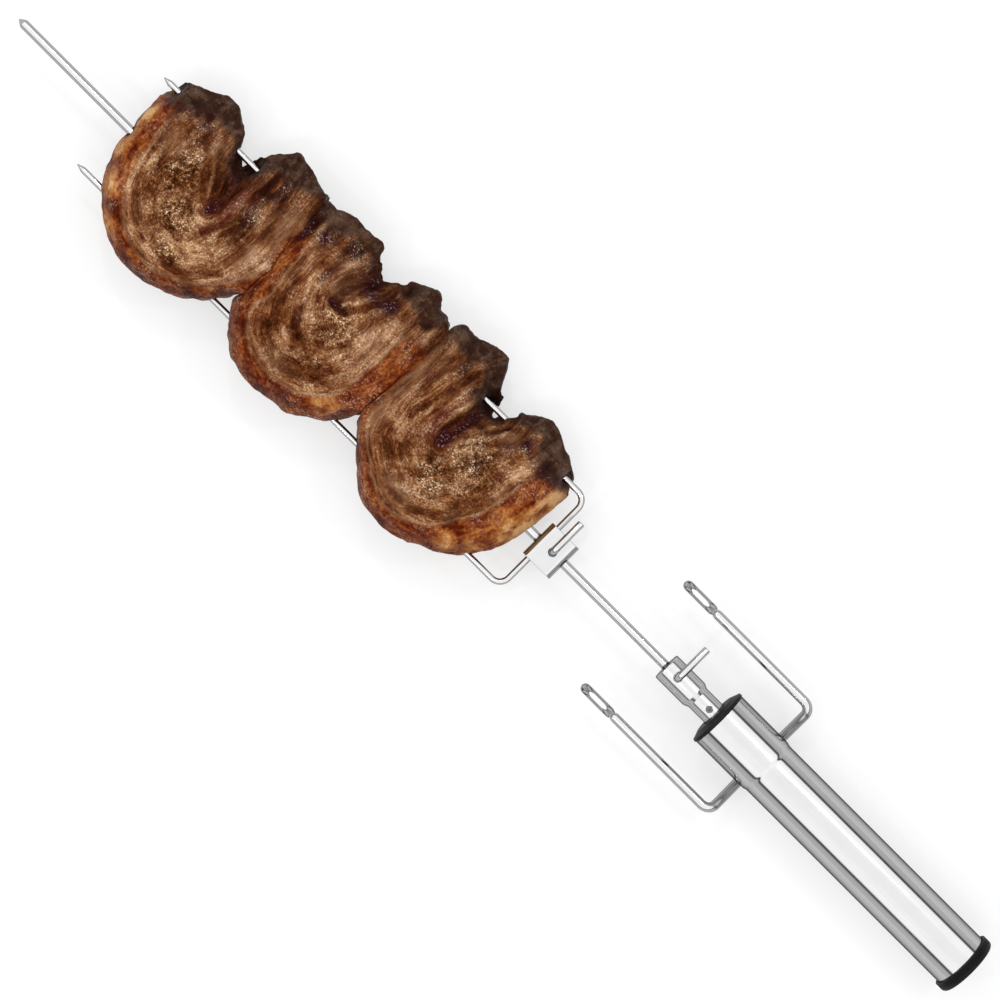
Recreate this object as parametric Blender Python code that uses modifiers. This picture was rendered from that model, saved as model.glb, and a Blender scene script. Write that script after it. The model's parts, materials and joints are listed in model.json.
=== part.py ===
"""Battery rotisserie spit: a tube handle with a geared motor that turns a loaded spit.

The frame is in metres with +Z up. The spit axis is the X axis, pointing to the spit's tip,
and the origin is on that axis at the flat end of the rear cap.
"""

import math

import bmesh
import bpy
from mathutils import Vector

MM = 0.001
GAP = 0.3 * MM

# Handle tube, a rolled shoulder between the battery half and the gearbox half
TUBE_START = 2.9 * MM
TUBE_END = 228.1 * MM
TUBE_REAR_R = 20.0 * MM
TUBE_FRONT_R = 20.85 * MM
TUBE_WALL = 1.0 * MM
GROOVE_X = 184.4 * MM
GROOVE_DEPTH = 0.4 * MM
GROOVE_HALF = 1.6 * MM
SHOULDER_END = 190.2 * MM

# Rear cap, screwed into the tube over the batteries
CAP_R = 22.0 * MM
CAP_FLOOR = 2.3 * MM
CAP_SKIRT_END = 7.5 * MM
CAP_PLUG_END = 11.0 * MM
CAP_PLUG_R = 18.6 * MM
CAP_PLUG_WALL = 2.2 * MM
CAP_EDGE_R = 2.5 * MM
CONTACT_THICK = 0.5 * MM
CONTACT_INNER_R = 2.5 * MM
CONTACT_OUTER_R = 15.8 * MM

# Two D cells in a plastic sleeve
CELL_R = 16.6 * MM
CELL_LENGTH = 61.5 * MM
CELL_NUB = 1.6 * MM
CELL_NUB_R = 4.6 * MM
CELL_START = 12.9 * MM
CELL_EDGE = 1.2 * MM
SLEEVE_START = 13.0 * MM
SLEEVE_R = 18.6 * MM
SLEEVE_WALL = 1.2 * MM
BULKHEAD_START = 138.0 * MM
BULKHEAD_THICK = 2.0 * MM
LEAD_Y = 14.0 * MM
LEAD_R = 0.6 * MM
LEAD_HOLE_R = 1.4 * MM
POSITIVE_DISC_R = 6.0 * MM
POSITIVE_TAIL_R = 1.2 * MM
POSITIVE_TAIL_HOLE_R = 1.6 * MM
POSITIVE_TAIL = 1.4 * MM
SPRING_COIL_R = 7.5 * MM
SPRING_TAPER = 1.5 * MM
SPRING_WIRE_R = 0.6 * MM
SPRING_TURNS = 3
SPRING_STEPS = 10

# Motor and gearbox
MOTOR_START = 143.0 * MM
MOTOR_END = 172.0 * MM
MOTOR_R = 12.2 * MM
MOTOR_EDGE = 1.5 * MM
MOTOR_BOSS = 1.0 * MM
MOTOR_BOSS_R = 3.5 * MM
MOTOR_BORE = 10.0 * MM
MOTOR_BORE_R = 1.3 * MM
MOTOR_SHAFT_R = 1.0 * MM
MOTOR_SHAFT_START = 163.0 * MM
PLATE_R = 18.3 * MM
REAR_PLATE = (172.3 * MM, 173.8 * MM)
FRONT_PLATE = (201.0 * MM, 203.5 * MM)
MODULE = 0.4 * MM
WHEEL_TEETH = 36
PINION_TEETH = 9
ARBOR_DISTANCE = MODULE * (WHEEL_TEETH + PINION_TEETH) / 2
ADDENDUM = 0.65
DEDENDUM = 1.1
TOOTH_TIP = 0.22
TOOTH_ROOT = 0.5
STAGE_START = 175.5 * MM
STAGE_PITCH = 4.5 * MM
WHEEL_THICK = 3.0 * MM
PINION_OVERHANG = 0.6 * MM
PIN_R = 0.7 * MM
PIN_BORE_R = 1.05 * MM
POST_R = 1.8 * MM
POST_CIRCLE = 15.2 * MM
POST_ANGLES = (35, 145, 215, 325)
SCREW_R = 0.8 * MM
SCREW_HEAD_R = 1.5 * MM
SCREW_HEAD = 0.9 * MM
SCREW_LENGTH = 5.0 * MM
SCREW_HOLE = SCREW_R + GAP
MOTOR_SCREW_Y = 8.0 * MM
MOTOR_BOSS_HOLE_R = 3.2 * MM
BEARING_R = 5.5 * MM
BEARING_FLANGE = 1.5 * MM

# Output shaft, bushes and front cap
SHAFT_R = 3.0 * MM
SHAFT_TAIL_START = 180.2 * MM
SHAFT_START = 188.9 * MM
SHAFT_END = 244.0 * MM
FRONT_RIM = (228.4 * MM, 230.5 * MM)
FRONT_RIM_R = 21.4 * MM
FRONT_RIM_EDGE = 0.8 * MM
FRONT_BOSS_START_R = 20.2 * MM
FRONT_BOSS_R = 15.5 * MM
FRONT_BOSS_END = 232.6 * MM
FRONT_PLUG_START = 214.0 * MM
BUSH_R = 11.0 * MM
BUSH_START = 216.5 * MM
BUSH_END = 229.3 * MM

# Coupling between the shaft and the spit
COUPLING_START = 215.0 * MM
COUPLING_STEP = (247.8 * MM, 251.0 * MM)
COUPLING_END = 276.7 * MM
COUPLING_SMALL_R = 8.4 * MM
COUPLING_R = 10.0 * MM
COUPLING_CHAMFER = 1.0 * MM
SET_SCREW_X = 237.8 * MM
SET_SCREW_R = 2.3 * MM
SET_SCREW_SOCKET_R = 1.2 * MM
SET_SCREW_SOCKET = 2.0 * MM

# Spit and its clamp screws
SPIT_R = 3.2 * MM
SPIT_START = 252.8 * MM
SPIT_END = 869.6 * MM
SPIT_POINT = 4.0 * MM
SPIT_TIP = 0.3 * MM
SPIT_TIP_R = 0.6 * MM
SPIT_HOLE_R = 3.6 * MM
COUPLING_SCREW_X = 266.6 * MM
CLAMP_SCREW_X = 381.1 * MM
SCREW_ARM_R = 2.45 * MM
SCREW_LEG_R = 2.75 * MM
SCREW_HOLE_R = 3.1 * MM
SCREW_BEND_R = 4.2 * MM
SCREW_CHAMFER = 0.8 * MM
SCREW_RUNOUT = 0.1 * MM
SCREW_ARM_REACH = 26.5 * MM
COUPLING_ARM_Z = 14.8 * MM
CLAMP_ARM_Z = 16.0 * MM

# Sliding fork: a clamp block and two tines
CLAMP_X = 382.35 * MM
CLAMP_SIZE = (23.9 * MM, 27.4 * MM, 24.0 * MM)
CLAMP_CORNER_R = 4.0 * MM
CLAMP_WALL = 2.7 * MM
TINE_R = 2.1 * MM
TINE_LEG_X = 389.2 * MM
TINE_Y = 39.7 * MM
TINE_INNER_Y = 4.6 * MM
TINE_BEND_R = 8.0 * MM
TINE_END = 776.4 * MM
TINE_POINT = 5.0 * MM

# Support frame: one bent wire that turns in a strap under the tube
WIRE_R = 3.25 * MM
FRAME_X = 188.1 * MM
FRAME_Z = -24.5 * MM
FRAME_CROSS_Y = 13.0 * MM
FRAME_ARM_Y = 47.2 * MM
FRAME_ARM_Z = -3.0 * MM
FRAME_LEG_X = 190.2 * MM
FRAME_BEND_R = 7.5 * MM
FRAME_CROSS_BEND_R = 9.0 * MM
FRAME_END = 306.4 * MM
EYE_X = 291.8 * MM
EYE_R = 3.45 * MM
EYE_LENGTH = 28.5 * MM
EYE_THICK = 4.6 * MM
SLOT_LENGTH = 16.0 * MM
SLOT_WIDTH = 4.2 * MM
STRAP_WIDTH = 12.0 * MM
STRAP_THICK = 0.8 * MM
STRAP_FOOT = 12.0 * MM
STRAP_STEPS = 8
STRAP_RIVETS = (178.6 * MM, 197.6 * MM)
RIVET_R = 1.2 * MM
RIVET_HEAD_R = 2.2 * MM
RIVET_HEAD = 0.8 * MM
RIVET_CROWN = 0.4 * MM
RIVET_HOLE_Z = (-16.0 * MM, -26.0 * MM)

# Load: three folded slices of meat, each an outline of (x, y) points in millimetres
MEAT_HALF = 28.0 * MM
MEAT_EDGE = 11.0 * MM
MEAT_HOLE = 0.5 * MM
SLICE_TIP = [
    (768.0, 0), (765.0, 19), (752.0, 40), (728.0, 57), (700.0, 64), (672.0, 59),
    (653.0, 43), (647.0, 20), (647.0, -20), (653.0, -50), (667.0, -62), (684.0, -62),
    (693.0, -47), (702.0, -34), (712.0, -50), (728.0, -61), (745.0, -56), (764.0, -38),
]
SLICE_MIDDLE = [
    (642.0, 20), (636.0, 40), (618.0, 56), (588.0, 61), (558.0, 56), (540.0, 40), (535.5, 20),
    (535.5, -30), (541.0, -58), (554.0, -65), (570.0, -58), (583.0, -44), (598.0, -61), (618.0, -64),
    (636.0, -54), (642.0, -20),
]
SLICE_REAR = [
    (530.0, 20), (525.0, 40), (506.0, 56), (472.0, 66), (440.0, 62), (416.0, 45), (402.0, 22),
    (400.0, -30), (410.0, -50), (426.0, -60), (444.0, -56), (456.0, -38), (468.0, -57), (487.0, -68.6),
    (508.0, -66.5), (523.0, -58), (530.0, -30),
]

ALONG_X = (math.pi / 2, 0, math.pi / 2)
ALONG_Y = (math.pi / 2, 0, 0)


def clear_scene():
    """Start from an empty scene with one collection for parts and one for cutters."""
    for obj in list(bpy.data.objects):
        bpy.data.objects.remove(obj, do_unlink=True)
    for name in ("rotisserie_spit", "cutters"):
        bpy.context.scene.collection.children.link(bpy.data.collections.new(name))


def material(name, colour, roughness, metallic):
    """A Principled material."""
    mat = bpy.data.materials.new(name)
    mat.use_nodes = True
    shader = mat.node_tree.nodes["Principled BSDF"]
    shader.inputs["Base Color"].default_value = (*colour, 1)
    shader.inputs["Roughness"].default_value = roughness
    shader.inputs["Metallic"].default_value = metallic
    return mat


def add_object(name, data, mat, location=(0, 0, 0), rotation=(0, 0, 0)):
    """Put new object data into the parts collection."""
    obj = bpy.data.objects.new(name, data)
    bpy.data.collections["rotisserie_spit"].objects.link(obj)
    if mat:
        obj.data.materials.append(mat)
    obj.location = location
    obj.rotation_euler = rotation
    return obj


def axis_empty(name, location, parent=None):
    """An empty on a joint's axis, which the moving pieces are parented to."""
    empty = bpy.data.objects.new(name, None)
    bpy.data.collections["rotisserie_spit"].objects.link(empty)
    empty.location = location
    bpy.context.view_layer.update()
    if parent:
        carry(parent, empty)
    return empty


def carry(parent, *pieces):
    """Parent pieces to an empty without moving them."""
    bpy.context.view_layer.update()
    for piece in pieces:
        piece.parent = parent
        piece.matrix_parent_inverse = parent.matrix_world.inverted()
    bpy.context.view_layer.update()


def turned(name, profile, mat, segments=32):
    """A turned piece about the X axis from (x, radius) points, listed front to rear on its outside."""
    mesh = bpy.data.meshes.new(name)
    points = [(radius, 0, x) for x, radius in profile]
    edges = [(i, i + 1) for i in range(len(points) - 1)]
    if profile[0][1] > 0:
        edges.append((len(points) - 1, 0))
    mesh.from_pydata(points, edges, [])
    obj = add_object(name, mesh, mat, rotation=ALONG_X)
    screw = obj.modifiers.new("Screw", "SCREW")
    screw.axis = "Z"
    screw.steps = segments
    screw.render_steps = segments
    screw.use_merge_vertices = True
    screw.merge_threshold = 0.00001
    return obj


def ring(name, start, end, inner, outer, mat, segments=32):
    """A plain turned ring."""
    return turned(name, [(end, inner), (end, outer), (start, outer), (start, inner)], mat, segments)


def to_mesh(curve_obj, mat):
    """Turn a curve object into a mesh object of the same name, with its caps welded."""
    bpy.context.view_layer.update()
    depsgraph = bpy.context.evaluated_depsgraph_get()
    mesh = bpy.data.meshes.new_from_object(curve_obj.evaluated_get(depsgraph))
    name, matrix = curve_obj.name, curve_obj.matrix_world.copy()
    bpy.data.objects.remove(curve_obj, do_unlink=True)
    edit = bmesh.new()
    edit.from_mesh(mesh)
    bmesh.ops.remove_doubles(edit, verts=edit.verts, dist=0.000005)
    edit.to_mesh(mesh)
    edit.free()
    mesh.materials.clear()
    obj = add_object(name, mesh, mat)
    obj.matrix_world = matrix
    return obj


def plate(name, outlines, thickness, mat, location, rotation, smooth=False, edge=0):
    """A flat piece from closed outlines; outlines inside the first are holes, and edge rounds it."""
    curve = bpy.data.curves.new(name, "CURVE")
    curve.dimensions = "2D"
    curve.fill_mode = "BOTH"
    curve.extrude = thickness / 2 - edge
    curve.bevel_depth = edge
    curve.bevel_resolution = 1
    curve.offset = -edge
    curve.render_resolution_u = 0
    for outline in outlines:
        spline = curve.splines.new("BEZIER" if smooth else "POLY")
        points = spline.bezier_points if smooth else spline.points
        points.add(len(outline) - 1)
        spline.use_cyclic_u = True
        spline.resolution_u = 3
        for point, (x, y) in zip(points, outline):
            if smooth:
                point.co = (x, y, 0)
                point.handle_left_type = "AUTO"
                point.handle_right_type = "AUTO"
            else:
                point.co = (x, y, 0, 1)
    obj = add_object(name, curve, None, location, rotation)
    return to_mesh(obj, mat)


def circle(radius, segments, centre=(0, 0)):
    """Points round a circle."""
    turns = [2 * math.pi * i / segments for i in range(segments)]
    return [(centre[0] + radius * math.cos(a), centre[1] + radius * math.sin(a)) for a in turns]


def filleted(corners, radii, steps=4):
    """A path through corner points whose inner corners are rounded to the given radii."""
    corners = [Vector(c) for c in corners]
    path = [corners[0]]
    for before, corner, after, radius in zip(corners, corners[1:], corners[2:], radii):
        back = (before - corner).normalized()
        ahead = (after - corner).normalized()
        half = back.angle(ahead) / 2
        centre = corner + (back + ahead).normalized() * radius / math.sin(half)
        start = corner + back * radius / math.tan(half) - centre
        end = corner + ahead * radius / math.tan(half) - centre
        sweep = start.angle(end)
        for i in range(steps + 1):
            t = i / steps
            blend = start * math.sin((1 - t) * sweep) + end * math.sin(t * sweep)
            path.append(centre + blend / math.sin(sweep))
    path.append(corners[-1])
    return path


def wire(name, path, radius, mat, scales=None, resolution=2, origin=(0, 0, 0)):
    """A round wire along a path of world points; scales thin it at single points."""
    curve = bpy.data.curves.new(name, "CURVE")
    curve.dimensions = "3D"
    curve.bevel_depth = radius
    curve.bevel_resolution = resolution
    curve.use_fill_caps = True
    curve.render_resolution_u = 0
    spline = curve.splines.new("POLY")
    spline.points.add(len(path) - 1)
    for i, (point, place) in enumerate(zip(spline.points, path)):
        point.co = (*(Vector(place) - Vector(origin)), 1)
        point.radius = scales[i] if scales else 1
    return add_object(name, curve, mat, origin)


def as_cutter(obj):
    """Move an object to the cutters collection, where it doesn't count as a piece."""
    bpy.data.collections["rotisserie_spit"].objects.unlink(obj)
    bpy.data.collections["cutters"].objects.link(obj)
    obj.hide_render = True
    obj.display_type = "WIRE"
    return obj


def combine(obj, other, operation="DIFFERENCE"):
    """Cut a piece with another object, or join the two."""
    as_cutter(other)
    mod = obj.modifiers.new(other.name, "BOOLEAN")
    mod.operation = operation
    mod.solver = "EXACT"
    mod.object = other


def cylinder_cutter(name, radius, start, end, segments=16):
    """A cutter along a straight line from start to end."""
    start, end = Vector(start), Vector(end)
    bpy.ops.mesh.primitive_cylinder_add(vertices=segments, radius=radius, depth=(end - start).length)
    obj = bpy.context.active_object
    obj.name = name
    for collection in list(obj.users_collection):
        collection.objects.unlink(obj)
    bpy.data.collections["rotisserie_spit"].objects.link(obj)
    obj.location = (start + end) / 2
    obj.rotation_euler = (end - start).to_track_quat("Z", "Y").to_euler()
    return obj


def shade(obj):
    """Smooth round faces and keep real edges sharp."""
    if obj.type == "MESH":
        obj.data.shade_smooth()
        obj.data.set_sharp_from_angle(angle=math.radians(40))


def build_tube(mats):
    """The handle tube with its groove, shoulder and rivet holes."""
    outer = [
        (TUBE_END, TUBE_FRONT_R),
        (SHOULDER_END, TUBE_FRONT_R),
        (GROOVE_X + GROOVE_HALF, TUBE_REAR_R),
        (GROOVE_X, TUBE_REAR_R - GROOVE_DEPTH),
        (GROOVE_X - GROOVE_HALF, TUBE_REAR_R),
        (TUBE_START, TUBE_REAR_R),
    ]
    inner = [(x, r - TUBE_WALL) for x, r in reversed(outer)]
    tube = turned("handle_tube", outer + inner, mats["steel"], 40)
    for i, x in enumerate(STRAP_RIVETS):
        hole = cylinder_cutter(
            f"rivet_hole_{i}", RIVET_R + GAP, (x, 0, RIVET_HOLE_Z[0]), (x, 0, RIVET_HOLE_Z[1]), 8
        )
        combine(tube, hole)
    return tube


def build_rear_cap(mats):
    """The battery cap with a skirt outside the tube and a plug inside it."""
    arc = []
    for i in range(4):
        angle = math.pi / 2 * i / 3
        x = CAP_EDGE_R * (1 - math.sin(angle))
        arc.append((x, CAP_R - CAP_EDGE_R * (1 - math.cos(angle))))
    profile = [
        (CAP_FLOOR, 0),
        (CAP_FLOOR, CAP_PLUG_R - CAP_PLUG_WALL),
        (CAP_PLUG_END, CAP_PLUG_R - CAP_PLUG_WALL),
        (CAP_PLUG_END, CAP_PLUG_R),
        (TUBE_START - GAP, CAP_PLUG_R),
        (TUBE_START - GAP, TUBE_REAR_R + GAP),
        (CAP_SKIRT_END, TUBE_REAR_R + GAP),
        (CAP_SKIRT_END, CAP_R),
        *arc,
        (0, 0),
    ]
    return turned("rear_cap", profile, mats["black"], 40)


def build_cap_contact(mats):
    """The contact disc in the cap, which carries the spring."""
    start = CAP_FLOOR + GAP
    end = start + CONTACT_THICK
    return ring("cap_contact", start, end, CONTACT_INNER_R, CONTACT_OUTER_R, mats["brass"], 24)


def build_spring(mats):
    """The battery spring, a short open coil that narrows towards the cell."""
    start = CAP_FLOOR + 2 * GAP + CONTACT_THICK + SPRING_WIRE_R
    end = CELL_START - GAP - SPRING_WIRE_R
    count = SPRING_TURNS * SPRING_STEPS
    path = []
    for i in range(count + 1):
        t = i / count
        angle = 2 * math.pi * SPRING_TURNS * t
        radius = SPRING_COIL_R - SPRING_TAPER * t
        x = start + (end - start) * t
        path.append((x, radius * math.cos(angle), radius * math.sin(angle)))
    return wire("battery_spring", path, SPRING_WIRE_R, mats["steel"])


def build_cell(index, mats):
    """One D cell, its positive nub to the front."""
    start = CELL_START + index * (CELL_LENGTH + GAP)
    shoulder = start + CELL_LENGTH - CELL_NUB
    end = start + CELL_LENGTH
    profile = [
        (end, 0),
        (end, CELL_NUB_R),
        (shoulder, CELL_NUB_R),
        (shoulder, CELL_R - CELL_EDGE),
        (shoulder - CELL_EDGE, CELL_R),
        (start + CELL_EDGE, CELL_R),
        (start, CELL_R - CELL_EDGE),
        (start, 0),
    ]
    return turned(f"battery_{index + 1}", profile, mats["cell"], 24)


def build_sleeve(mats):
    """The plastic sleeve that centres the cells in the tube."""
    inner = SLEEVE_R - SLEEVE_WALL
    return ring("battery_sleeve", SLEEVE_START, BULKHEAD_START - GAP, inner, SLEEVE_R, mats["grey"], 32)


def build_bulkhead(mats):
    """The disc that stops the cells, with a hole for the contact's tail and one for the lead."""
    tail_hole = circle(POSITIVE_TAIL_HOLE_R, 8)
    lead_hole = circle(LEAD_HOLE_R, 8, (-LEAD_Y, 0))
    outlines = [circle(SLEEVE_R, 32), tail_hole, lead_hole]
    x = BULKHEAD_START + BULKHEAD_THICK / 2
    return plate("battery_bulkhead", outlines, BULKHEAD_THICK, mats["grey"], (x, 0, 0), ALONG_X)


def build_front_contact(mats):
    """The positive contact: a disc on the bulkhead with a tail through it."""
    face = CELL_START + 2 * CELL_LENGTH + 2 * GAP
    back = BULKHEAD_START - GAP
    tail = BULKHEAD_START + BULKHEAD_THICK + POSITIVE_TAIL
    profile = [
        (tail, 0),
        (tail, POSITIVE_TAIL_R),
        (back, POSITIVE_TAIL_R),
        (back, POSITIVE_DISC_R),
        (face, POSITIVE_DISC_R),
        (face, 0),
    ]
    return turned("positive_contact", profile, mats["brass"], 16)


def build_motor(mats):
    """The motor can with its rear boss, bored for the shaft and its two screws."""
    profile = [
        (MOTOR_END, 0),
        (MOTOR_END, MOTOR_R - MOTOR_EDGE),
        (MOTOR_END - MOTOR_EDGE, MOTOR_R),
        (MOTOR_START + MOTOR_EDGE, MOTOR_R),
        (MOTOR_START, MOTOR_R - MOTOR_EDGE),
        (MOTOR_START, MOTOR_BOSS_R),
        (MOTOR_START - MOTOR_BOSS, MOTOR_BOSS_R),
        (MOTOR_START - MOTOR_BOSS, 0),
    ]
    can = turned("motor_can", profile, mats["steel"], 24)
    holes = ((0, MOTOR_BORE_R), (MOTOR_SCREW_Y, SCREW_HOLE), (-MOTOR_SCREW_Y, SCREW_HOLE))
    for i, (y, radius) in enumerate(holes):
        start = (MOTOR_END - MOTOR_BORE, y, 0)
        end = (MOTOR_END + MOTOR_BORE, y, 0)
        combine(can, cylinder_cutter(f"motor_hole_{i}", radius, start, end, 10))
    return can


def build_leads(mats):
    """The two motor leads: one from the positive contact, one through the bulkhead's rim."""
    behind = BULKHEAD_START + BULKHEAD_THICK
    plus = [
        (behind + 0.9 * MM, 2.2 * MM, 0),
        (behind + 0.9 * MM, 8 * MM, 0),
        (behind + 1.2 * MM, 12.2 * MM, 2 * MM),
        (MOTOR_START + 4 * MM, MOTOR_R + 1.6 * MM, 2 * MM),
        (MOTOR_START + 12 * MM, MOTOR_R + 1.6 * MM, 0),
    ]
    minus = [
        (behind - 1 * MM, -LEAD_Y, 0),
        (behind + 2 * MM, -LEAD_Y, 0),
        (MOTOR_START + 6 * MM, -MOTOR_R - 1.8 * MM, 0),
        (MOTOR_START + 12 * MM, -MOTOR_R - 1.8 * MM, 0),
    ]
    wire("positive_lead", plus, LEAD_R, mats["red"], resolution=0)
    wire("negative_lead", minus, LEAD_R, mats["black"], resolution=0)


def gear_outline(teeth, phase):
    """A gear's outline of straight-sided teeth, with one tooth centred on the phase angle."""
    pitch_r = MODULE * teeth / 2
    root_r = pitch_r - DEDENDUM * MODULE
    tip_r = pitch_r + ADDENDUM * MODULE
    step = 2 * math.pi / teeth
    outline = []
    for tooth in range(teeth):
        centre = phase + tooth * step
        corners = ((root_r, -TOOTH_ROOT), (tip_r, -TOOTH_TIP), (tip_r, TOOTH_TIP), (root_r, TOOTH_ROOT))
        for radius, share in corners:
            angle = centre + share * step / 2
            outline.append((radius * math.cos(angle), radius * math.sin(angle)))
    return outline


def spur(name, teeth, phase, start, end, arbor_z, mat):
    """One toothed disc between two x positions, centred on an arbor."""
    outline = gear_outline(teeth, phase)
    place = ((start + end) / 2, 0, arbor_z)
    return plate(name, [outline], end - start, mat, place, ALONG_X)


def stage_x(stage):
    """Where a stage's wheel starts."""
    return STAGE_START + stage * STAGE_PITCH


def compound_gear(index, mats):
    """A wheel and pinion in one, free on its arbor; odd ones sit on the layshaft."""
    on_layshaft = index % 2 == 1
    arbor_z = ARBOR_DISTANCE if on_layshaft else 0
    towards = -math.pi / 2 if on_layshaft else math.pi / 2
    start = stage_x(index - 1)
    half_tooth = math.pi / WHEEL_TEETH
    end = start + WHEEL_THICK
    phase = towards + half_tooth
    wheel = spur(f"gear_{index}", WHEEL_TEETH, phase, start, end, arbor_z, mats["brass"])
    pinion_end = stage_x(index) + WHEEL_THICK + PINION_OVERHANG
    pinion_start = start + WHEEL_THICK / 2
    pinion = spur(f"pinion_{index}", PINION_TEETH, towards, pinion_start, pinion_end, arbor_z, None)
    combine(wheel, pinion, "UNION")
    bore_start = (start - MM, 0, arbor_z)
    bore_end = (pinion_end + MM, 0, arbor_z)
    combine(wheel, cylinder_cutter(f"gear_bore_{index}", PIN_BORE_R, bore_start, bore_end, 10))
    return wheel


def build_gears(mats):
    """The motor pinion, three compound gears and the output gear."""
    start = MOTOR_END + 2.3 * MM
    end = stage_x(0) + WHEEL_THICK + PINION_OVERHANG
    pinion = spur("motor_pinion", PINION_TEETH, math.pi / 2, start, end, 0, mats["steel"])
    shaft_ends = (MOTOR_SHAFT_START, 0, 0), (end - MM, 0, 0)
    combine(pinion, cylinder_cutter("motor_shaft", MOTOR_SHAFT_R, *shaft_ends, 10), "UNION")
    gears = [compound_gear(index, mats) for index in (1, 2, 3)]
    start = stage_x(3)
    end = start + WHEEL_THICK
    phase = math.pi / 2 + math.pi / WHEEL_TEETH
    output = spur("output_gear", WHEEL_TEETH, phase, start, end, 0, mats["brass"])
    bore_ends = (start - MM, 0, 0), (end + MM, 0, 0)
    combine(output, cylinder_cutter("output_bore", SHAFT_R + GAP, *bore_ends, 16))
    return pinion, gears, output


def build_gearbox_frame(mats):
    """Both plates, the posts between them, the layshaft pin and the screws."""
    post_centres = []
    for angle in POST_ANGLES:
        turn = math.radians(angle)
        post_centres.append((POST_CIRCLE * math.cos(turn), POST_CIRCLE * math.sin(turn)))
    post_holes = [circle(SCREW_HOLE, 8, centre) for centre in post_centres]
    pin_hole = circle(PIN_BORE_R, 8, (0, ARBOR_DISTANCE))
    motor_holes = [circle(SCREW_HOLE, 8, (side * MOTOR_SCREW_Y, 0)) for side in (-1, 1)]
    disc = circle(PLATE_R, 32)
    rear_outlines = [disc, circle(MOTOR_BOSS_HOLE_R, 12), pin_hole, *post_holes, *motor_holes]
    front_outlines = [disc, circle(BEARING_R + GAP, 16), pin_hole, *post_holes]
    for name, outlines, (start, end) in (
        ("gearbox_rear_plate", rear_outlines, REAR_PLATE),
        ("gearbox_front_plate", front_outlines, FRONT_PLATE),
    ):
        place = ((start + end) / 2, 0, 0)
        plate(name, outlines, end - start, mats["steel"], place, ALONG_X)
    for i, centre in enumerate(post_centres):
        build_post(i, centre, mats)
        small_screw(f"gearbox_screw_{i + 1}", FRONT_PLATE[1] + GAP, centre, mats)
    for i, side in enumerate((-1, 1)):
        centre = (side * MOTOR_SCREW_Y, 0)
        small_screw(f"motor_screw_{i + 1}", REAR_PLATE[1] + GAP, centre, mats)
    rear, front = REAR_PLATE[0], FRONT_PLATE[1]
    profile = [(front, 0), (front, PIN_R), (rear, PIN_R), (rear, 0)]
    pin = turned("layshaft_pin", profile, mats["steel"], 10)
    pin.location = (0, 0, ARBOR_DISTANCE)


def build_post(index, centre, mats):
    """A gearbox post, staked into the rear plate and bored for a screw in front."""
    end = FRONT_PLATE[0] - GAP
    seat = REAR_PLATE[1] + GAP
    profile = [
        (end, 0),
        (end, POST_R),
        (seat, POST_R),
        (seat, SCREW_R),
        (REAR_PLATE[0], SCREW_R),
        (REAR_PLATE[0], 0),
    ]
    post = turned(f"gearbox_post_{index + 1}", profile, mats["brass"], 8)
    y, z = centre
    post.location = (0, y, z)
    bore_start = (end - SCREW_LENGTH, y, z)
    combine(post, cylinder_cutter(f"post_bore_{index}", SCREW_HOLE, bore_start, (end + MM, y, z), 8))


def small_screw(name, seat, centre, mats):
    """A screw along -X with its head on the seat."""
    profile = [
        (seat + SCREW_HEAD, 0),
        (seat + SCREW_HEAD, SCREW_HEAD_R),
        (seat, SCREW_HEAD_R),
        (seat, SCREW_R),
        (seat - SCREW_LENGTH, SCREW_R),
        (seat - SCREW_LENGTH, 0),
    ]
    screw = turned(name, profile, mats["steel"], 8)
    screw.location = (0, *centre)


def build_output(mats):
    """The output shaft with its thin tail, the rear bearing and the front bush."""
    tail = SHAFT_TAIL_START
    profile = [
        (SHAFT_END, 0),
        (SHAFT_END, SHAFT_R),
        (SHAFT_START, SHAFT_R),
        (SHAFT_START, PIN_R),
        (tail, PIN_R),
        (tail, 0),
    ]
    shaft = turned("output_shaft", profile, mats["steel"], 16)
    flange = BEARING_R + BEARING_FLANGE
    start = FRONT_PLATE[0] - BEARING_FLANGE
    seat = FRONT_PLATE[0] - GAP
    end = FRONT_PLATE[1] + BEARING_FLANGE
    bore = SHAFT_R + GAP
    profile = [
        (end, bore),
        (end, BEARING_R),
        (seat, BEARING_R),
        (seat, flange),
        (start, flange),
        (start, bore),
    ]
    turned("shaft_bearing", profile, mats["bronze"], 16)
    ring("front_bush", BUSH_START, BUSH_END, COUPLING_SMALL_R + GAP, BUSH_R, mats["bronze"], 24)
    return shaft


def build_front_cap(mats):
    """The front cap: a plug in the tube, a rim over its end and a sloping boss."""
    bore = COUPLING_SMALL_R + 2 * GAP
    pocket = BUSH_R + GAP
    plug = TUBE_FRONT_R - TUBE_WALL - GAP
    rim_start, rim_end = FRONT_RIM
    profile = [
        (FRONT_BOSS_END, bore),
        (FRONT_BOSS_END, FRONT_BOSS_R),
        (rim_end + GAP, FRONT_BOSS_START_R),
        (rim_end, FRONT_RIM_R - FRONT_RIM_EDGE),
        (rim_end - FRONT_RIM_EDGE, FRONT_RIM_R),
        (rim_start, FRONT_RIM_R),
        (rim_start, plug),
        (FRONT_PLUG_START, plug),
        (FRONT_PLUG_START, pocket),
        (BUSH_END + GAP, pocket),
        (BUSH_END + GAP, bore),
    ]
    return turned("front_cap", profile, mats["black"], 40)


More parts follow.
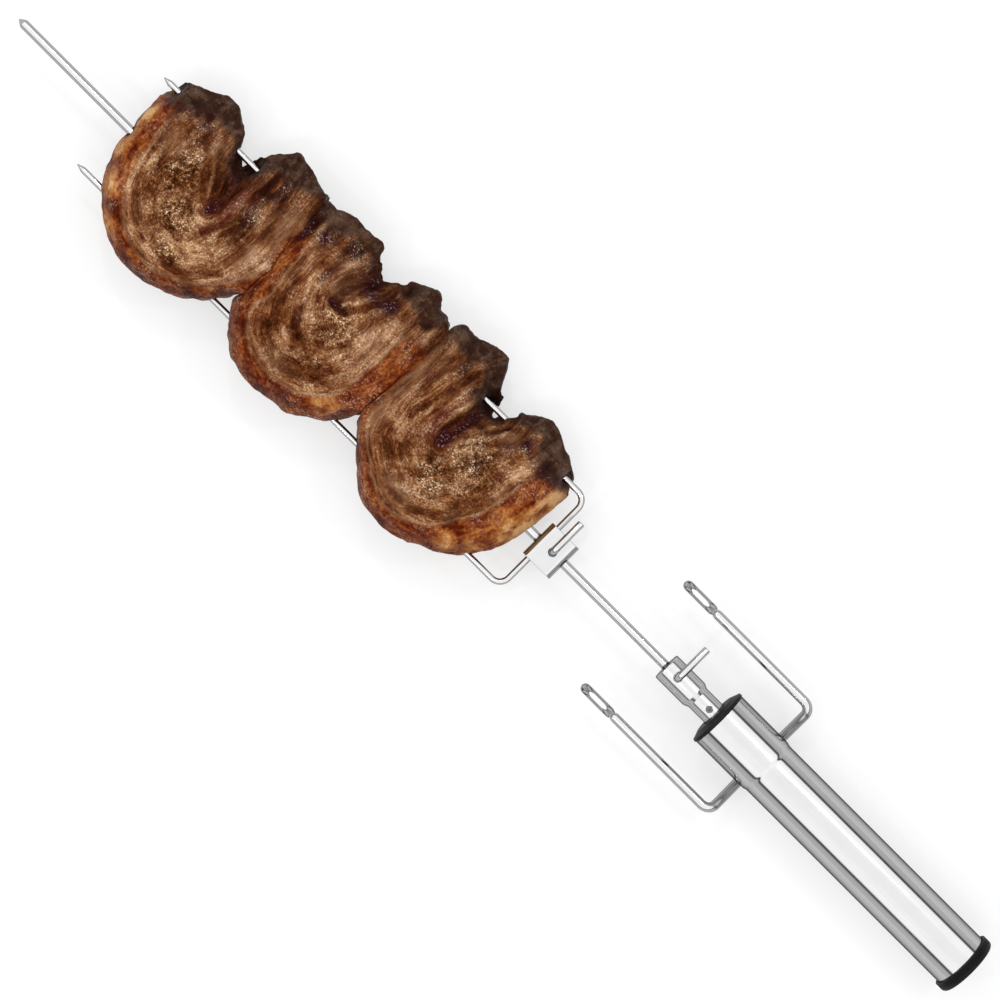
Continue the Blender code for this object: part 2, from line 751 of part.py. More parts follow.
def build_coupling(mats):
    """The turned coupling: a shaft bore behind, a spit socket in front and two screw holes."""
    shaft_bore = SHAFT_R + GAP
    profile = [
        (COUPLING_END, 0),
        (COUPLING_END, COUPLING_R - COUPLING_CHAMFER),
        (COUPLING_END - COUPLING_CHAMFER, COUPLING_R),
        (COUPLING_STEP[1], COUPLING_R),
        (COUPLING_STEP[0], COUPLING_SMALL_R),
        (COUPLING_START, COUPLING_SMALL_R),
        (COUPLING_START, shaft_bore),
        (SHAFT_END + GAP, shaft_bore),
        (SHAFT_END + GAP, 0),
    ]
    coupling = turned("coupling", profile, mats["steel"], 28)
    socket_ends = (SPIT_START - GAP, 0, 0), (COUPLING_END + MM, 0, 0)
    combine(coupling, cylinder_cutter("spit_socket", SPIT_HOLE_R, *socket_ends, 16))
    for name, x, radius in (
        ("set_screw_hole", SET_SCREW_X, SET_SCREW_R + GAP),
        ("coupling_screw_hole", COUPLING_SCREW_X, SCREW_HOLE_R),
    ):
        hole_ends = (x, 0, MM), (x, 0, COUPLING_R + MM)
        combine(coupling, cylinder_cutter(name, radius, *hole_ends, 12))
    return coupling


def build_set_screw(mats):
    """The grub screw with its hexagon socket, which locks the coupling to the shaft."""
    bottom = SHAFT_R + GAP
    top = COUPLING_SMALL_R - 0.5 * MM
    profile = [(top, 0), (top, SET_SCREW_R), (bottom, SET_SCREW_R), (bottom, 0)]
    screw = turned("set_screw", profile, mats["dark"], 12)
    screw.rotation_euler = (0, 0, 0)
    screw.location = (SET_SCREW_X, 0, 0)
    socket_ends = (SET_SCREW_X, 0, top - SET_SCREW_SOCKET), (SET_SCREW_X, 0, top + MM)
    combine(screw, cylinder_cutter("set_screw_socket", SET_SCREW_SOCKET_R, *socket_ends, 6))
    return screw


def build_bent_screw(name, x, arm_z, mats):
    """A clamp screw bent from rod: a threaded leg down onto the spit and an arm to turn it by."""
    corners = [(x, 0, SPIT_R + GAP), (x, 0, arm_z), (x, -SCREW_ARM_REACH, arm_z)]
    path = filleted(corners, [SCREW_BEND_R], 5)
    bend_start = path[1]
    runout = Vector((0, 0, SCREW_RUNOUT))
    arm_end = path[-1] + Vector((0, SCREW_CHAMFER, 0))
    path = [path[0], bend_start - 2 * runout, bend_start - runout, *path[1:-1], arm_end, path[-1]]
    leg = SCREW_LEG_R / SCREW_ARM_R
    scales = [leg, leg] + [1] * (len(path) - 3) + [1 - SCREW_CHAMFER / SCREW_ARM_R]
    return wire(name, path, SCREW_ARM_R, mats["steel"], scales, origin=(x, 0, 0))


def build_spit(mats):
    """The round spit with a short point."""
    profile = [
        (SPIT_END, 0),
        (SPIT_END - SPIT_TIP, SPIT_TIP_R),
        (SPIT_END - SPIT_POINT, SPIT_R),
        (SPIT_START, SPIT_R),
        (SPIT_START, 0),
    ]
    return turned("spit_rod", profile, mats["steel"], 16)


def rounded_rectangle(width, height, radius, steps):
    """A rectangle with round corners."""
    outline = []
    for cx, cy, quarter in ((1, 1, 0), (-1, 1, 1), (-1, -1, 2), (1, -1, 3)):
        for i in range(steps + 1):
            angle = math.pi / 2 * (quarter + i / steps)
            x = cx * (width / 2 - radius) + radius * math.cos(angle)
            y = cy * (height / 2 - radius) + radius * math.sin(angle)
            outline.append((x, y))
    return outline


def build_clamp(mats):
    """The fork's clamp block: a length of square tube across the spit."""
    length, width, height = CLAMP_SIZE
    outer = rounded_rectangle(length, height, CLAMP_CORNER_R, 4)
    inner_r = CLAMP_CORNER_R - CLAMP_WALL
    inner = rounded_rectangle(length - 2 * CLAMP_WALL, height - 2 * CLAMP_WALL, inner_r, 2)
    block = plate("fork_clamp", [outer, inner], width, mats["steel"], (CLAMP_X, 0, 0), ALONG_Y)
    spit_ends = (CLAMP_X - length, 0, 0), (CLAMP_X + length, 0, 0)
    combine(block, cylinder_cutter("spit_hole", SPIT_HOLE_R, *spit_ends, 12))
    screw_ends = (CLAMP_SCREW_X, 0, height / 4), (CLAMP_SCREW_X, 0, height)
    combine(block, cylinder_cutter("clamp_screw_hole", SCREW_HOLE_R, *screw_ends, 12))
    return block


def build_tine(side, name, mats):
    """One tine, bent from wire and welded inside the clamp's front wall."""
    corners = [
        (TINE_LEG_X, side * TINE_INNER_Y, 0),
        (TINE_LEG_X, side * TINE_Y, 0),
        (TINE_END, side * TINE_Y, 0),
    ]
    path = filleted(corners, [TINE_BEND_R], 5)
    point_start = Vector((TINE_END - TINE_POINT, side * TINE_Y, 0))
    path = [*path[:-1], point_start, path[-1]]
    scales = [1] * (len(path) - 1) + [0.15]
    return wire(name, path, TINE_R, mats["steel"], scales)


def build_frame(mats):
    """The support frame: one wire bent into a U, with a slotted eye at each end."""
    origin = (FRAME_X, 0, FRAME_Z)
    half = [
        (FRAME_END - EYE_R, FRAME_ARM_Y, FRAME_ARM_Z),
        (FRAME_LEG_X, FRAME_ARM_Y, FRAME_ARM_Z),
        (FRAME_X, FRAME_CROSS_Y, FRAME_Z),
    ]
    corners = half + [(x, -y, z) for x, y, z in reversed(half)]
    radii = [FRAME_BEND_R, FRAME_CROSS_BEND_R, FRAME_CROSS_BEND_R, FRAME_BEND_R]
    path = filleted(corners, radii, 4)
    curve = wire("support_frame", path, WIRE_R, None, resolution=3, origin=origin)
    frame = to_mesh(curve, mats["steel"])
    slot = rounded_rectangle(SLOT_LENGTH, SLOT_WIDTH, SLOT_WIDTH / 2, 3)
    eye = rounded_rectangle(EYE_LENGTH, 2 * EYE_R, EYE_R, 4)
    for side in (-1, 1):
        place = (FRAME_END - EYE_LENGTH / 2, side * FRAME_ARM_Y, FRAME_ARM_Z)
        block = plate(f"eye_{side}", [eye], EYE_THICK, None, place, (0, 0, 0))
        combine(frame, block, "UNION")
        place = (EYE_X, side * FRAME_ARM_Y, FRAME_ARM_Z)
        hole = plate(f"slot_{side}", [slot], 4 * EYE_THICK, None, place, (0, 0, 0))
        combine(frame, hole)
    return frame


def build_strap(mats):
    """The strap that holds the frame's cross wire under the tube, and its two rivets."""
    inner = WIRE_R + GAP
    outer = inner + STRAP_THICK
    top = -TUBE_FRONT_R - GAP - FRAME_Z
    bottom = top - STRAP_THICK
    arc_out, arc_in = [], []
    for i in range(STRAP_STEPS + 1):
        angle = math.pi + math.pi * i / STRAP_STEPS
        arc_out.append((outer * math.cos(angle), outer * math.sin(angle)))
        arc_in.append((inner * math.cos(angle), inner * math.sin(angle)))
    outline = [
        (-outer - STRAP_FOOT, top),
        (-outer - STRAP_FOOT, bottom),
        (-outer, bottom),
        *arc_out,
        (outer, bottom),
        (outer + STRAP_FOOT, bottom),
        (outer + STRAP_FOOT, top),
        (inner, top),
        *reversed(arc_in),
        (-inner, top),
    ]
    strap = plate("frame_strap", [outline], STRAP_WIDTH, mats["steel"], (FRAME_X, 0, FRAME_Z), ALONG_Y)
    for i, x in enumerate(STRAP_RIVETS):
        hole_ends = (x, 0, RIVET_HOLE_Z[0]), (x, 0, RIVET_HOLE_Z[1])
        combine(strap, cylinder_cutter(f"strap_hole_{i}", RIVET_R + GAP, *hole_ends, 8))
        build_rivet(i, x, mats)


def build_rivet(index, x, mats):
    """A rivet through the strap and the tube wall, upright in local Z."""
    tube_r = TUBE_REAR_R - GROOVE_DEPTH if x < GROOVE_X else TUBE_FRONT_R
    inside = TUBE_WALL - tube_r + GAP + RIVET_CROWN
    outside = -TUBE_FRONT_R - GAP - STRAP_THICK - GAP
    profile = [
        (inside + RIVET_HEAD, 0),
        (inside + RIVET_HEAD, RIVET_HEAD_R),
        (inside, RIVET_HEAD_R),
        (inside, RIVET_R),
        (outside, RIVET_R),
        (outside, RIVET_HEAD_R),
        (outside - RIVET_HEAD, RIVET_HEAD_R),
        (outside - RIVET_HEAD, 0),
    ]
    rivet = turned(f"strap_rivet_{index + 1}", profile, mats["steel"], 8)
    rivet.rotation_euler = (0, 0, 0)
    rivet.location = (x, 0, 0)


def build_slice(name, outline, mats):
    """One folded slice of meat with holes for the spit and both tines."""
    points = [(x * MM, y * MM) for x, y in outline]
    place = (0, 0, 0)
    piece = plate(name, [points], 2 * MEAT_HALF, mats["meat"], place, place, smooth=True, edge=MEAT_EDGE)
    low = min(x for x, y in points) - MEAT_HALF
    high = max(x for x, y in points) + MEAT_HALF
    holes = (("spit", 0, SPIT_R), ("left", TINE_Y, TINE_R), ("right", -TINE_Y, TINE_R))
    for label, y, radius in holes:
        hole_ends = (low, y, 0), (high, y, 0)
        combine(piece, cylinder_cutter(f"{name}_{label}_hole", radius + MEAT_HOLE, *hole_ends, 10))
    return piece


def make_materials():
    """The model's plain materials."""
    return {
        "steel": material("stainless_steel", (0.62, 0.62, 0.63), 0.22, 1),
        "dark": material("black_steel", (0.08, 0.08, 0.08), 0.4, 0.8),
        "black": material("black_plastic", (0.02, 0.02, 0.02), 0.45, 0),
        "grey": material("grey_plastic", (0.25, 0.26, 0.27), 0.5, 0),
        "red": material("red_lead", (0.5, 0.03, 0.03), 0.5, 0),
        "brass": material("brass", (0.7, 0.52, 0.2), 0.3, 1),
        "bronze": material("bronze", (0.6, 0.38, 0.2), 0.4, 1),
        "cell": material("cell_jacket", (0.1, 0.12, 0.2), 0.4, 0.2),
        "meat": material("roast_meat", (0.2, 0.08, 0.04), 0.5, 0),
    }


def main():
    """Build every piece and parent the moving ones to their joints' axes."""
    clear_scene()
    mats = make_materials()
    build_tube(mats)
    build_front_cap(mats)
    build_sleeve(mats)
    build_bulkhead(mats)
    build_front_contact(mats)
    build_motor(mats)
    build_leads(mats)
    build_gearbox_frame(mats)
    for index in range(2):
        build_cell(index, mats)
    build_strap(mats)

    cap_slide = axis_empty("cap_slide_axis", (0, 0, 0))
    cap_turn = axis_empty("cap_turn_axis", (0, 0, 0), cap_slide)
    carry(cap_slide, build_cap_contact(mats), build_spring(mats))
    carry(cap_turn, build_rear_cap(mats))

    pinion, gears, output = build_gears(mats)
    shaft = build_output(mats)
    carry(axis_empty("motor_axis", (0, 0, 0)), pinion)
    for index, gear in enumerate(gears):
        arbor_z = ARBOR_DISTANCE if index % 2 == 0 else 0
        carry(axis_empty(f"gear_{index + 1}_axis", (0, 0, arbor_z)), gear)

    drive = axis_empty("drive_axis", (0, 0, 0))
    carry(drive, output, shaft, build_coupling(mats), build_set_screw(mats))
    coupling_screw = build_bent_screw("coupling_screw", COUPLING_SCREW_X, COUPLING_ARM_Z, mats)
    carry(drive, coupling_screw)

    spit = axis_empty("spit_axis", (SPIT_START, 0, 0), drive)
    carry(spit, build_spit(mats))
    for name, outline in (
        ("meat_slice_tip", SLICE_TIP),
        ("meat_slice_middle", SLICE_MIDDLE),
        ("meat_slice_rear", SLICE_REAR),
    ):
        carry(spit, build_slice(name, outline, mats))

    fork = axis_empty("fork_axis", (CLAMP_X, 0, 0), spit)
    tines = build_tine(1, "tine_left", mats), build_tine(-1, "tine_right", mats)
    carry(fork, build_clamp(mats), *tines)
    carry(fork, build_bent_screw("clamp_screw", CLAMP_SCREW_X, CLAMP_ARM_Z, mats))

    carry(axis_empty("frame_axis", (FRAME_X, 0, FRAME_Z)), build_frame(mats))
    for obj in bpy.data.collections["rotisserie_spit"].objects:
        shade(obj)


main()
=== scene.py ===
import json
import math

import bmesh
import bpy
import numpy as np
from mathutils import Matrix, Vector

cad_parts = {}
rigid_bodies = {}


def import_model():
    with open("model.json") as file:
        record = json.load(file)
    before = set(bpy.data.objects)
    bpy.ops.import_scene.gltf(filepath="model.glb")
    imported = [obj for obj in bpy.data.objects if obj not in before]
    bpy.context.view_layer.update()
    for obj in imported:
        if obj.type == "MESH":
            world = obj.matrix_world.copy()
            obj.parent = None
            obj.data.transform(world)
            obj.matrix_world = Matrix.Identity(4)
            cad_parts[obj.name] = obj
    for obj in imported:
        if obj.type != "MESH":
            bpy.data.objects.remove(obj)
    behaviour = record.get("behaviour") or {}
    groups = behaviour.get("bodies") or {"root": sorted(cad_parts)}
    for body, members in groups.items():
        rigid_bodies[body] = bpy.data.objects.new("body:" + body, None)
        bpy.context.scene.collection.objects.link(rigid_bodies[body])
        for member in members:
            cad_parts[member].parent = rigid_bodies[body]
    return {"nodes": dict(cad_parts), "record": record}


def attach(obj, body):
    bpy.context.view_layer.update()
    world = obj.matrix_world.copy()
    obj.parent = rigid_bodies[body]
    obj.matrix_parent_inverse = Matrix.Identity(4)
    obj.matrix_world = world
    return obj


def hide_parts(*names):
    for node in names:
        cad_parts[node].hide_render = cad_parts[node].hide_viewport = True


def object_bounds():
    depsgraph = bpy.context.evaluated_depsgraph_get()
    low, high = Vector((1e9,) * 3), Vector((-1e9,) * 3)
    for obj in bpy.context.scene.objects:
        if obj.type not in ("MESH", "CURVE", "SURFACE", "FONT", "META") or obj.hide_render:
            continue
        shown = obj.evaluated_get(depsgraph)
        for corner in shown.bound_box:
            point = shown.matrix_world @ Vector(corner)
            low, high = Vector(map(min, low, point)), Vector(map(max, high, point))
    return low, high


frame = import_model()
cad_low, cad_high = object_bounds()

MM = 0.001
NODES = frame["nodes"]
FLOOR_Z = cad_low.z
TWO_PI = 2 * math.pi


def linked(name, data):
    """A new object in the scene."""
    thing = bpy.data.objects.new(name, data)
    bpy.context.scene.collection.objects.link(thing)
    return thing


# Camera and light

VIEW_CENTRE = (428.9 * MM, 0)
VIEW_WIDTH = 648 * MM
CAMERA_HEIGHT = 2.1
SENSOR = 36
CLIP_END = 50


def build_camera():
    """A camera straight above, turned so that the spit runs from corner to corner."""
    data = bpy.data.cameras.new("camera")
    data.sensor_width = SENSOR
    data.lens = SENSOR * CAMERA_HEIGHT / VIEW_WIDTH
    data.clip_end = CLIP_END
    camera = linked("camera", data)
    side = 1 / math.sqrt(2)
    x, y = VIEW_CENTRE
    camera.matrix_world = Matrix((
        (-side, side, 0, x),
        (-side, -side, 0, y),
        (0, 0, 1, CAMERA_HEIGHT),
        (0, 0, 0, 1),
    ))
    bpy.context.scene.camera = camera


# Brightness of the studio by the sine of the elevation: grey walls, a dark band and a bright ceiling
SKY = (
    (0.0, 0.86), (0.28, 0.80), (0.36, 0.60), (0.41, 0.10), (0.50, 0.10), (0.57, 1.86), (0.75, 1.90),
    (1.0, 1.74),
)
SKY_GAIN = 2
FLOOR_SIZE = 14
FLOOR_GAP = 0.2 * MM
FLOOR_GREYS = (0.295, 0.305)
FLOOR_GLOW = 0.55
LAMP_SIZE = 0.10
LAMP_POWER = 2.4
LAMPS = ((1.15, -0.60, 1.30), (0.75, 0.95, 1.35), (-0.05, -0.85, 1.40), (0.30, 0.60, 1.70))


def build_world():
    """Soft studio light whose brightness depends only on the height it comes from."""
    world = bpy.data.worlds.new("studio")
    bpy.context.scene.world = world
    world.use_nodes = True
    tree = world.node_tree
    background = tree.nodes["Background"]
    coords = tree.nodes.new("ShaderNodeTexCoord")
    split = tree.nodes.new("ShaderNodeSeparateXYZ")
    level = tree.nodes.new("ShaderNodeValToRGB")
    tree.links.new(coords.outputs["Generated"], split.inputs[0])
    tree.links.new(split.outputs["Z"], level.inputs[0])
    tree.links.new(level.outputs["Color"], background.inputs["Color"])
    set_ramp(level, [(at, (v / SKY_GAIN,) * 3) for at, v in SKY])
    background.inputs["Strength"].default_value = SKY_GAIN


def build_lamps():
    """Four small weak lamps, whose reflections glint on wet meat and steel."""
    target = Vector((*VIEW_CENTRE, 0))
    for index, place in enumerate(LAMPS):
        data = bpy.data.lights.new(f"lamp_{index + 1}", "AREA")
        data.shape = "DISK"
        data.size = LAMP_SIZE
        data.energy = LAMP_POWER
        lamp = linked(f"lamp_{index + 1}", data)
        lamp.location = place
        lamp.rotation_euler = (target - Vector(place)).to_track_quat("-Z", "Y").to_euler()


def build_floor():
    """A pale matt floor under the whole set, which glows faintly."""
    signs = ((-1, -1), (1, -1), (1, 1), (-1, 1))
    corners = [(x * FLOOR_SIZE, y * FLOOR_SIZE, FLOOR_Z - FLOOR_GAP) for x, y in signs]
    mesh = mesh_from("floor", corners, [(0, 1, 2, 3)])
    floor = linked("floor", mesh)
    g = Graph("floor_paint")
    cloud = g.noise(g.objects(), 1.5, 2)
    low, high = FLOOR_GREYS
    g.to("Base Color", g.ramp(cloud, [(0.3, (low,) * 3), (0.7, (high,) * 3)]))
    g.value("Emission Color", (1, 1, 1, 1))
    g.value("Emission Strength", FLOOR_GLOW)
    g.value("Roughness", 0.9)
    g.value("Specular IOR Level", 0.1)
    mesh.materials.append(g.material)


# Materials

# Dark tint of the steel's reflection at grazing angles: painted shade that draws a dark outline round every
# steel piece
OUTLINE_SHADE_TINT = (0.12, 0.12, 0.12, 1)
METAL_LINES = 900
METAL_RELIEF = 0.01 * MM
METAL_SPREAD = 0.04
PLASTIC_GRAIN = 1400
PLASTIC_RELIEF = 0.04 * MM
MEAT_RELIEF = 0.7 * MM
MEAT_TINT = (1.0, 0.32, 0.18, 1)
# Dark plum of clotted juice, also used as painted shade in the crease and where slices meet
CLOT_AND_SHADE_COLOUR = (0.022, 0.0030, 0.0042, 1)
EDGE_COLOUR = (0.026, 0.0090, 0.005, 1)
# Colour of the painted glints on the wet meat
GLINT_COLOUR = (0.74, 0.58, 0.38, 1)
# Colour of the painted highlights on the clots
LAVENDER_GLINT_COLOUR = (0.46, 0.33, 0.38, 1)


def set_ramp(node, stops):
    """Fill a colour ramp from (position, colour) pairs."""
    elements = node.color_ramp.elements
    while len(elements) < len(stops):
        elements.new(0.5)
    for element, (at, colour) in zip(elements, stops):
        element.position = at
        element.color = (*colour, 1)


class Graph:
    """A Principled material with short calls for its procedural nodes."""

    def __init__(self, name):
        self.material = bpy.data.materials.new(name)
        self.material.use_nodes = True
        self.tree = self.material.node_tree
        self.shader = self.tree.nodes["Principled BSDF"]

    def link(self, source, target):
        """Connect a socket, or set a plain value."""
        if isinstance(source, bpy.types.NodeSocket):
            self.tree.links.new(source, target)
        else:
            target.default_value = source

    def to(self, name, source):
        """Feed a socket of the shader."""
        self.tree.links.new(source, self.shader.inputs[name])

    def value(self, name, number):
        """Set a socket of the shader."""
        self.shader.inputs[name].default_value = number

    def add(self, kind, output, **inputs):
        """The output of a new node whose inputs are linked or set."""
        node = self.tree.nodes.new(kind)
        for name, source in inputs.items():
            self.link(source, node.inputs[name.replace("_", " ").title()])
        return node.outputs[output]

    def objects(self):
        """Coordinates in metres, fixed to the piece."""
        return self.add("ShaderNodeTexCoord", "Object")

    def attribute(self, name, vector=False):
        """A value stored on the mesh."""
        node = self.tree.nodes.new("ShaderNodeAttribute")
        node.attribute_name = name
        return node.outputs["Vector" if vector else "Fac"]

    def stretched(self, source, scale):
        """Coordinates scaled by axis."""
        return self.add("ShaderNodeMapping", "Vector", vector=source, scale=scale)

    def noise(self, source, scale, detail=3, roughness=0.5, distortion=0):
        """Fractal noise, from 0 to 1."""
        return self.add(
            "ShaderNodeTexNoise", "Fac",
            vector=source, scale=scale, detail=detail, roughness=roughness, distortion=distortion,
        )

    def ramp(self, source, stops):
        """A colour ramp."""
        node = self.tree.nodes.new("ShaderNodeValToRGB")
        self.tree.links.new(source, node.inputs[0])
        set_ramp(node, stops)
        return node.outputs["Color"]

    def span(self, source, low, high, start=0.0, end=1.0):
        """Map a range of values to another, clamped."""
        return self.add(
            "ShaderNodeMapRange", "Result",
            value=source, from_min=low, from_max=high, to_min=start, to_max=end,
        )

    def math(self, operation, a, b):
        """Arithmetic on two values."""
        node = self.tree.nodes.new("ShaderNodeMath")
        node.operation = operation
        self.link(a, node.inputs[0])
        self.link(b, node.inputs[1])
        return node.outputs[0]

    def blend(self, *parts):
        """A weighted sum."""
        total = None
        for source, weight in parts:
            part = self.math("MULTIPLY", source, weight)
            total = part if total is None else self.math("ADD", total, part)
        return total

    def mix(self, factor, a, b):
        """One colour over another."""
        node = self.tree.nodes.new("ShaderNodeMix")
        node.data_type = "RGBA"
        self.link(factor, node.inputs[0])
        self.link(a, node.inputs[6])
        self.link(b, node.inputs[7])
        return node.outputs[2]

    def bump(self, height, distance, strength):
        """Fine relief too small for the mesh."""
        normal = self.add("ShaderNodeBump", "Normal", distance=distance, strength=strength, height=height)
        self.to("Normal", normal)
        return normal


def metal(name, colour, roughness, grain):
    """Bare metal with fine lines along the grain and faint cloudy wear."""
    g = Graph(name)
    at = g.objects()
    lines = g.noise(g.stretched(at, grain), METAL_LINES, 3, 0.6)
    cloud = g.noise(at, 45, 3, 0.6)
    tone = g.math("ADD", g.math("MULTIPLY", lines, 0.5), g.math("MULTIPLY", cloud, 0.5))
    dark = tuple(c * (1 - METAL_SPREAD) for c in colour)
    light = tuple(min(1, c * (1 + METAL_SPREAD)) for c in colour)
    g.to("Base Color", g.ramp(tone, [(0.3, dark), (0.7, light)]))
    g.to("Roughness", g.span(tone, 0.3, 0.7, roughness * 0.8, roughness * 1.25))
    g.value("Metallic", 1.0)
    # Painted shade: a dark reflection at grazing angles outlines the steel
    g.value("Specular Tint", OUTLINE_SHADE_TINT)
    g.bump(lines, METAL_RELIEF, 0.3)
    return g.material


def plastic(name, colour, roughness):
    """Moulded plastic with a fine grain."""
    g = Graph(name)
    at = g.objects()
    grain = g.noise(at, PLASTIC_GRAIN, 3, 0.6)
    cloud = g.noise(at, 60, 3, 0.5)
    light = tuple(min(1, c * 1.35 + 0.003) for c in colour)
    g.to("Base Color", g.ramp(cloud, [(0.3, colour), (0.7, light)]))
    g.to("Roughness", g.span(grain, 0.3, 0.7, roughness - 0.08, roughness + 0.08))
    g.value("Specular IOR Level", 0.1)
    g.bump(grain, PLASTIC_RELIEF, 0.6)
    return g.material


def meat_material():
    """Grilled beef: fibres along the folds, rendered fat outside, char at the ends, painted shade in its
    hollows and painted highlights.
    """
    g = Graph("roast_meat")
    at = g.objects()
    grain = g.attribute("grain", vector=True)
    names = ("fat", "char", "gold_and_glints", "pale", "clot_and_shade", "red", "edge", "pale_lit_rim", "relief_shade", "shade")
    fat, char, gold_and_glints, pale, clot_and_shade, red, edge, pale_lit_rim, relief_shade, shade = map(g.attribute, names)
    strands = g.noise(g.stretched(grain, (0.10, 1, 0.12)), 420, 5, 0.65, 0.6)
    threads = g.noise(g.stretched(grain, (0.16, 1, 0.2)), 1300, 3, 0.6)
    blotch = g.noise(at, 75, 4, 0.6)
    crumbs = g.noise(at, 420, 3, 0.6)
    specks = g.noise(at, 1000, 2, 0.6)
    strands, threads = g.span(strands, 0.36, 0.64), g.span(threads, 0.34, 0.66)
    crumbs, specks = g.span(crumbs, 0.34, 0.68), g.span(specks, 0.36, 0.68)
    # The relief mask in these blends paints light and shade: raised parts lighter, hollows and creases
    # darker
    mixed = g.blend(
        (strands, 0.20), (blotch, 0.16), (threads, 0.12), (crumbs, 0.08), (specks, 0.08), (relief_shade, 0.36),
    )
    flesh = g.ramp(mixed, [
        (0.24, (0.009, 0.0018, 0.0008)), (0.39, (0.050, 0.0125, 0.0034)), (0.52, (0.130, 0.0440, 0.0145)),
        (0.65, (0.275, 0.1380, 0.0610)), (0.78, (0.500, 0.3300, 0.1900)),
    ])
    # Golden crust whose brightest speckles are painted highlights of a wet glaze
    grit = g.blend((crumbs, 0.31), (specks, 0.27), (blotch, 0.10), (relief_shade, 0.32))
    golden_glints = g.ramp(grit, [
        (0.26, (0.009, 0.0022, 0.0008)), (0.41, (0.041, 0.0115, 0.0032)), (0.54, (0.104, 0.0365, 0.0115)),
        (0.67, (0.235, 0.1160, 0.0440)), (0.80, (0.580, 0.4000, 0.2000)),
    ])
    colour = g.mix(gold_and_glints, flesh, golden_glints)
    # Paler flesh: the real pale seam by the fat, and painted light on the lit faces of the lobes
    pale_lit_flesh = g.ramp(mixed, [
        (0.24, (0.068, 0.027, 0.012)), (0.50, (0.175, 0.082, 0.039)), (0.76, (0.360, 0.210, 0.122)),
    ])
    colour = g.mix(pale, colour, pale_lit_flesh)
    pink = g.ramp(mixed, [
        (0.24, (0.026, 0.0042, 0.0026)), (0.50, (0.072, 0.017, 0.010)), (0.76, (0.175, 0.060, 0.038)),
    ])
    colour = g.mix(red, colour, pink)
    streaks = g.noise(g.stretched(grain, (0.30, 1, 0.4)), 260, 4, 0.6, 0.5)
    streaks = g.span(streaks, 0.34, 0.66)
    # Paler fat on the rounded rims, partly painted light where a rim turns to the light
    rind = g.blend((blotch, 0.28), (streaks, 0.24), (crumbs, 0.14), (relief_shade, 0.16), (pale_lit_rim, 0.35))
    crust = g.ramp(rind, [
        (0.22, (0.020, 0.0024, 0.0010)), (0.35, (0.066, 0.0085, 0.0020)), (0.47, (0.155, 0.0370, 0.0085)),
        (0.61, (0.280, 0.1050, 0.0260)), (0.78, (0.460, 0.2600, 0.1100)),
    ])
    colour = g.mix(fat, colour, crust)
    dusk = g.ramp(mixed, [
        (0.24, (0.006, 0.0011, 0.0007)), (0.50, (0.020, 0.0042, 0.0018)), (0.76, (0.060, 0.0200, 0.0100)),
    ])
    colour = g.mix(shade, colour, dusk)
    sooty = g.blend((strands, 0.12), (blotch, 0.30), (crumbs, 0.14), (relief_shade, 0.44))
    soot = g.ramp(sooty, [
        (0.24, (0.0065, 0.0028, 0.002)), (0.50, (0.024, 0.0100, 0.006)), (0.76, (0.088, 0.0480, 0.030)),
    ])
    colour = g.mix(char, colour, soot)
    # Clots, and painted shade down the crease and at the joints between slices
    colour = g.mix(clot_and_shade, colour, CLOT_AND_SHADE_COLOUR)
    colour = g.mix(edge, colour, EDGE_COLOUR)
    # Painted glints: bright specks on raised, golden, wet parts
    painted_glints = g.span(g.noise(at, 760, 2, 0.5), 0.57, 0.67)
    painted_glints = g.math("MULTIPLY", painted_glints, g.span(relief_shade, 0.42, 0.80))
    painted_glints = g.math("MULTIPLY", painted_glints, g.span(gold_and_glints, 0, 1, 0.45, 1.0))
    dry = g.math("MAXIMUM", char, edge)
    painted_glints = g.math("MULTIPLY", painted_glints, g.span(dry, 0.1, 0.8, 0.85, 0.1))
    colour = g.mix(painted_glints, colour, GLINT_COLOUR)
    # Painted highlights: pale lavender glints on the clots
    lavender_glint = g.math("MULTIPLY", g.span(g.noise(at, 620, 2, 0.5), 0.60, 0.72), g.span(clot_and_shade, 0.3, 0.8))
    colour = g.mix(g.math("MULTIPLY", lavender_glint, 0.5), colour, LAVENDER_GLINT_COLOUR)
    g.to("Base Color", colour)
    g.to("Roughness", g.span(grit, 0.3, 0.7, 0.62, 0.40))
    g.value("Specular IOR Level", 0.06)
    g.value("Specular Tint", MEAT_TINT)
    damp = g.math("MULTIPLY", g.span(specks, 0.55, 0.95), g.span(relief_shade, 0.45, 0.75))
    g.to("Coat Weight", g.math("MULTIPLY", damp, g.span(dry, 0.2, 0.9, 0.9, 0.15)))
    g.value("Coat Roughness", 0.10)
    g.value("Coat IOR", 1.7)
    relief = g.blend((threads, 0.25), (crumbs, 0.5), (specks, 0.25))
    g.to("Coat Normal", g.bump(relief, MEAT_RELIEF, 0.8))
    return g.material


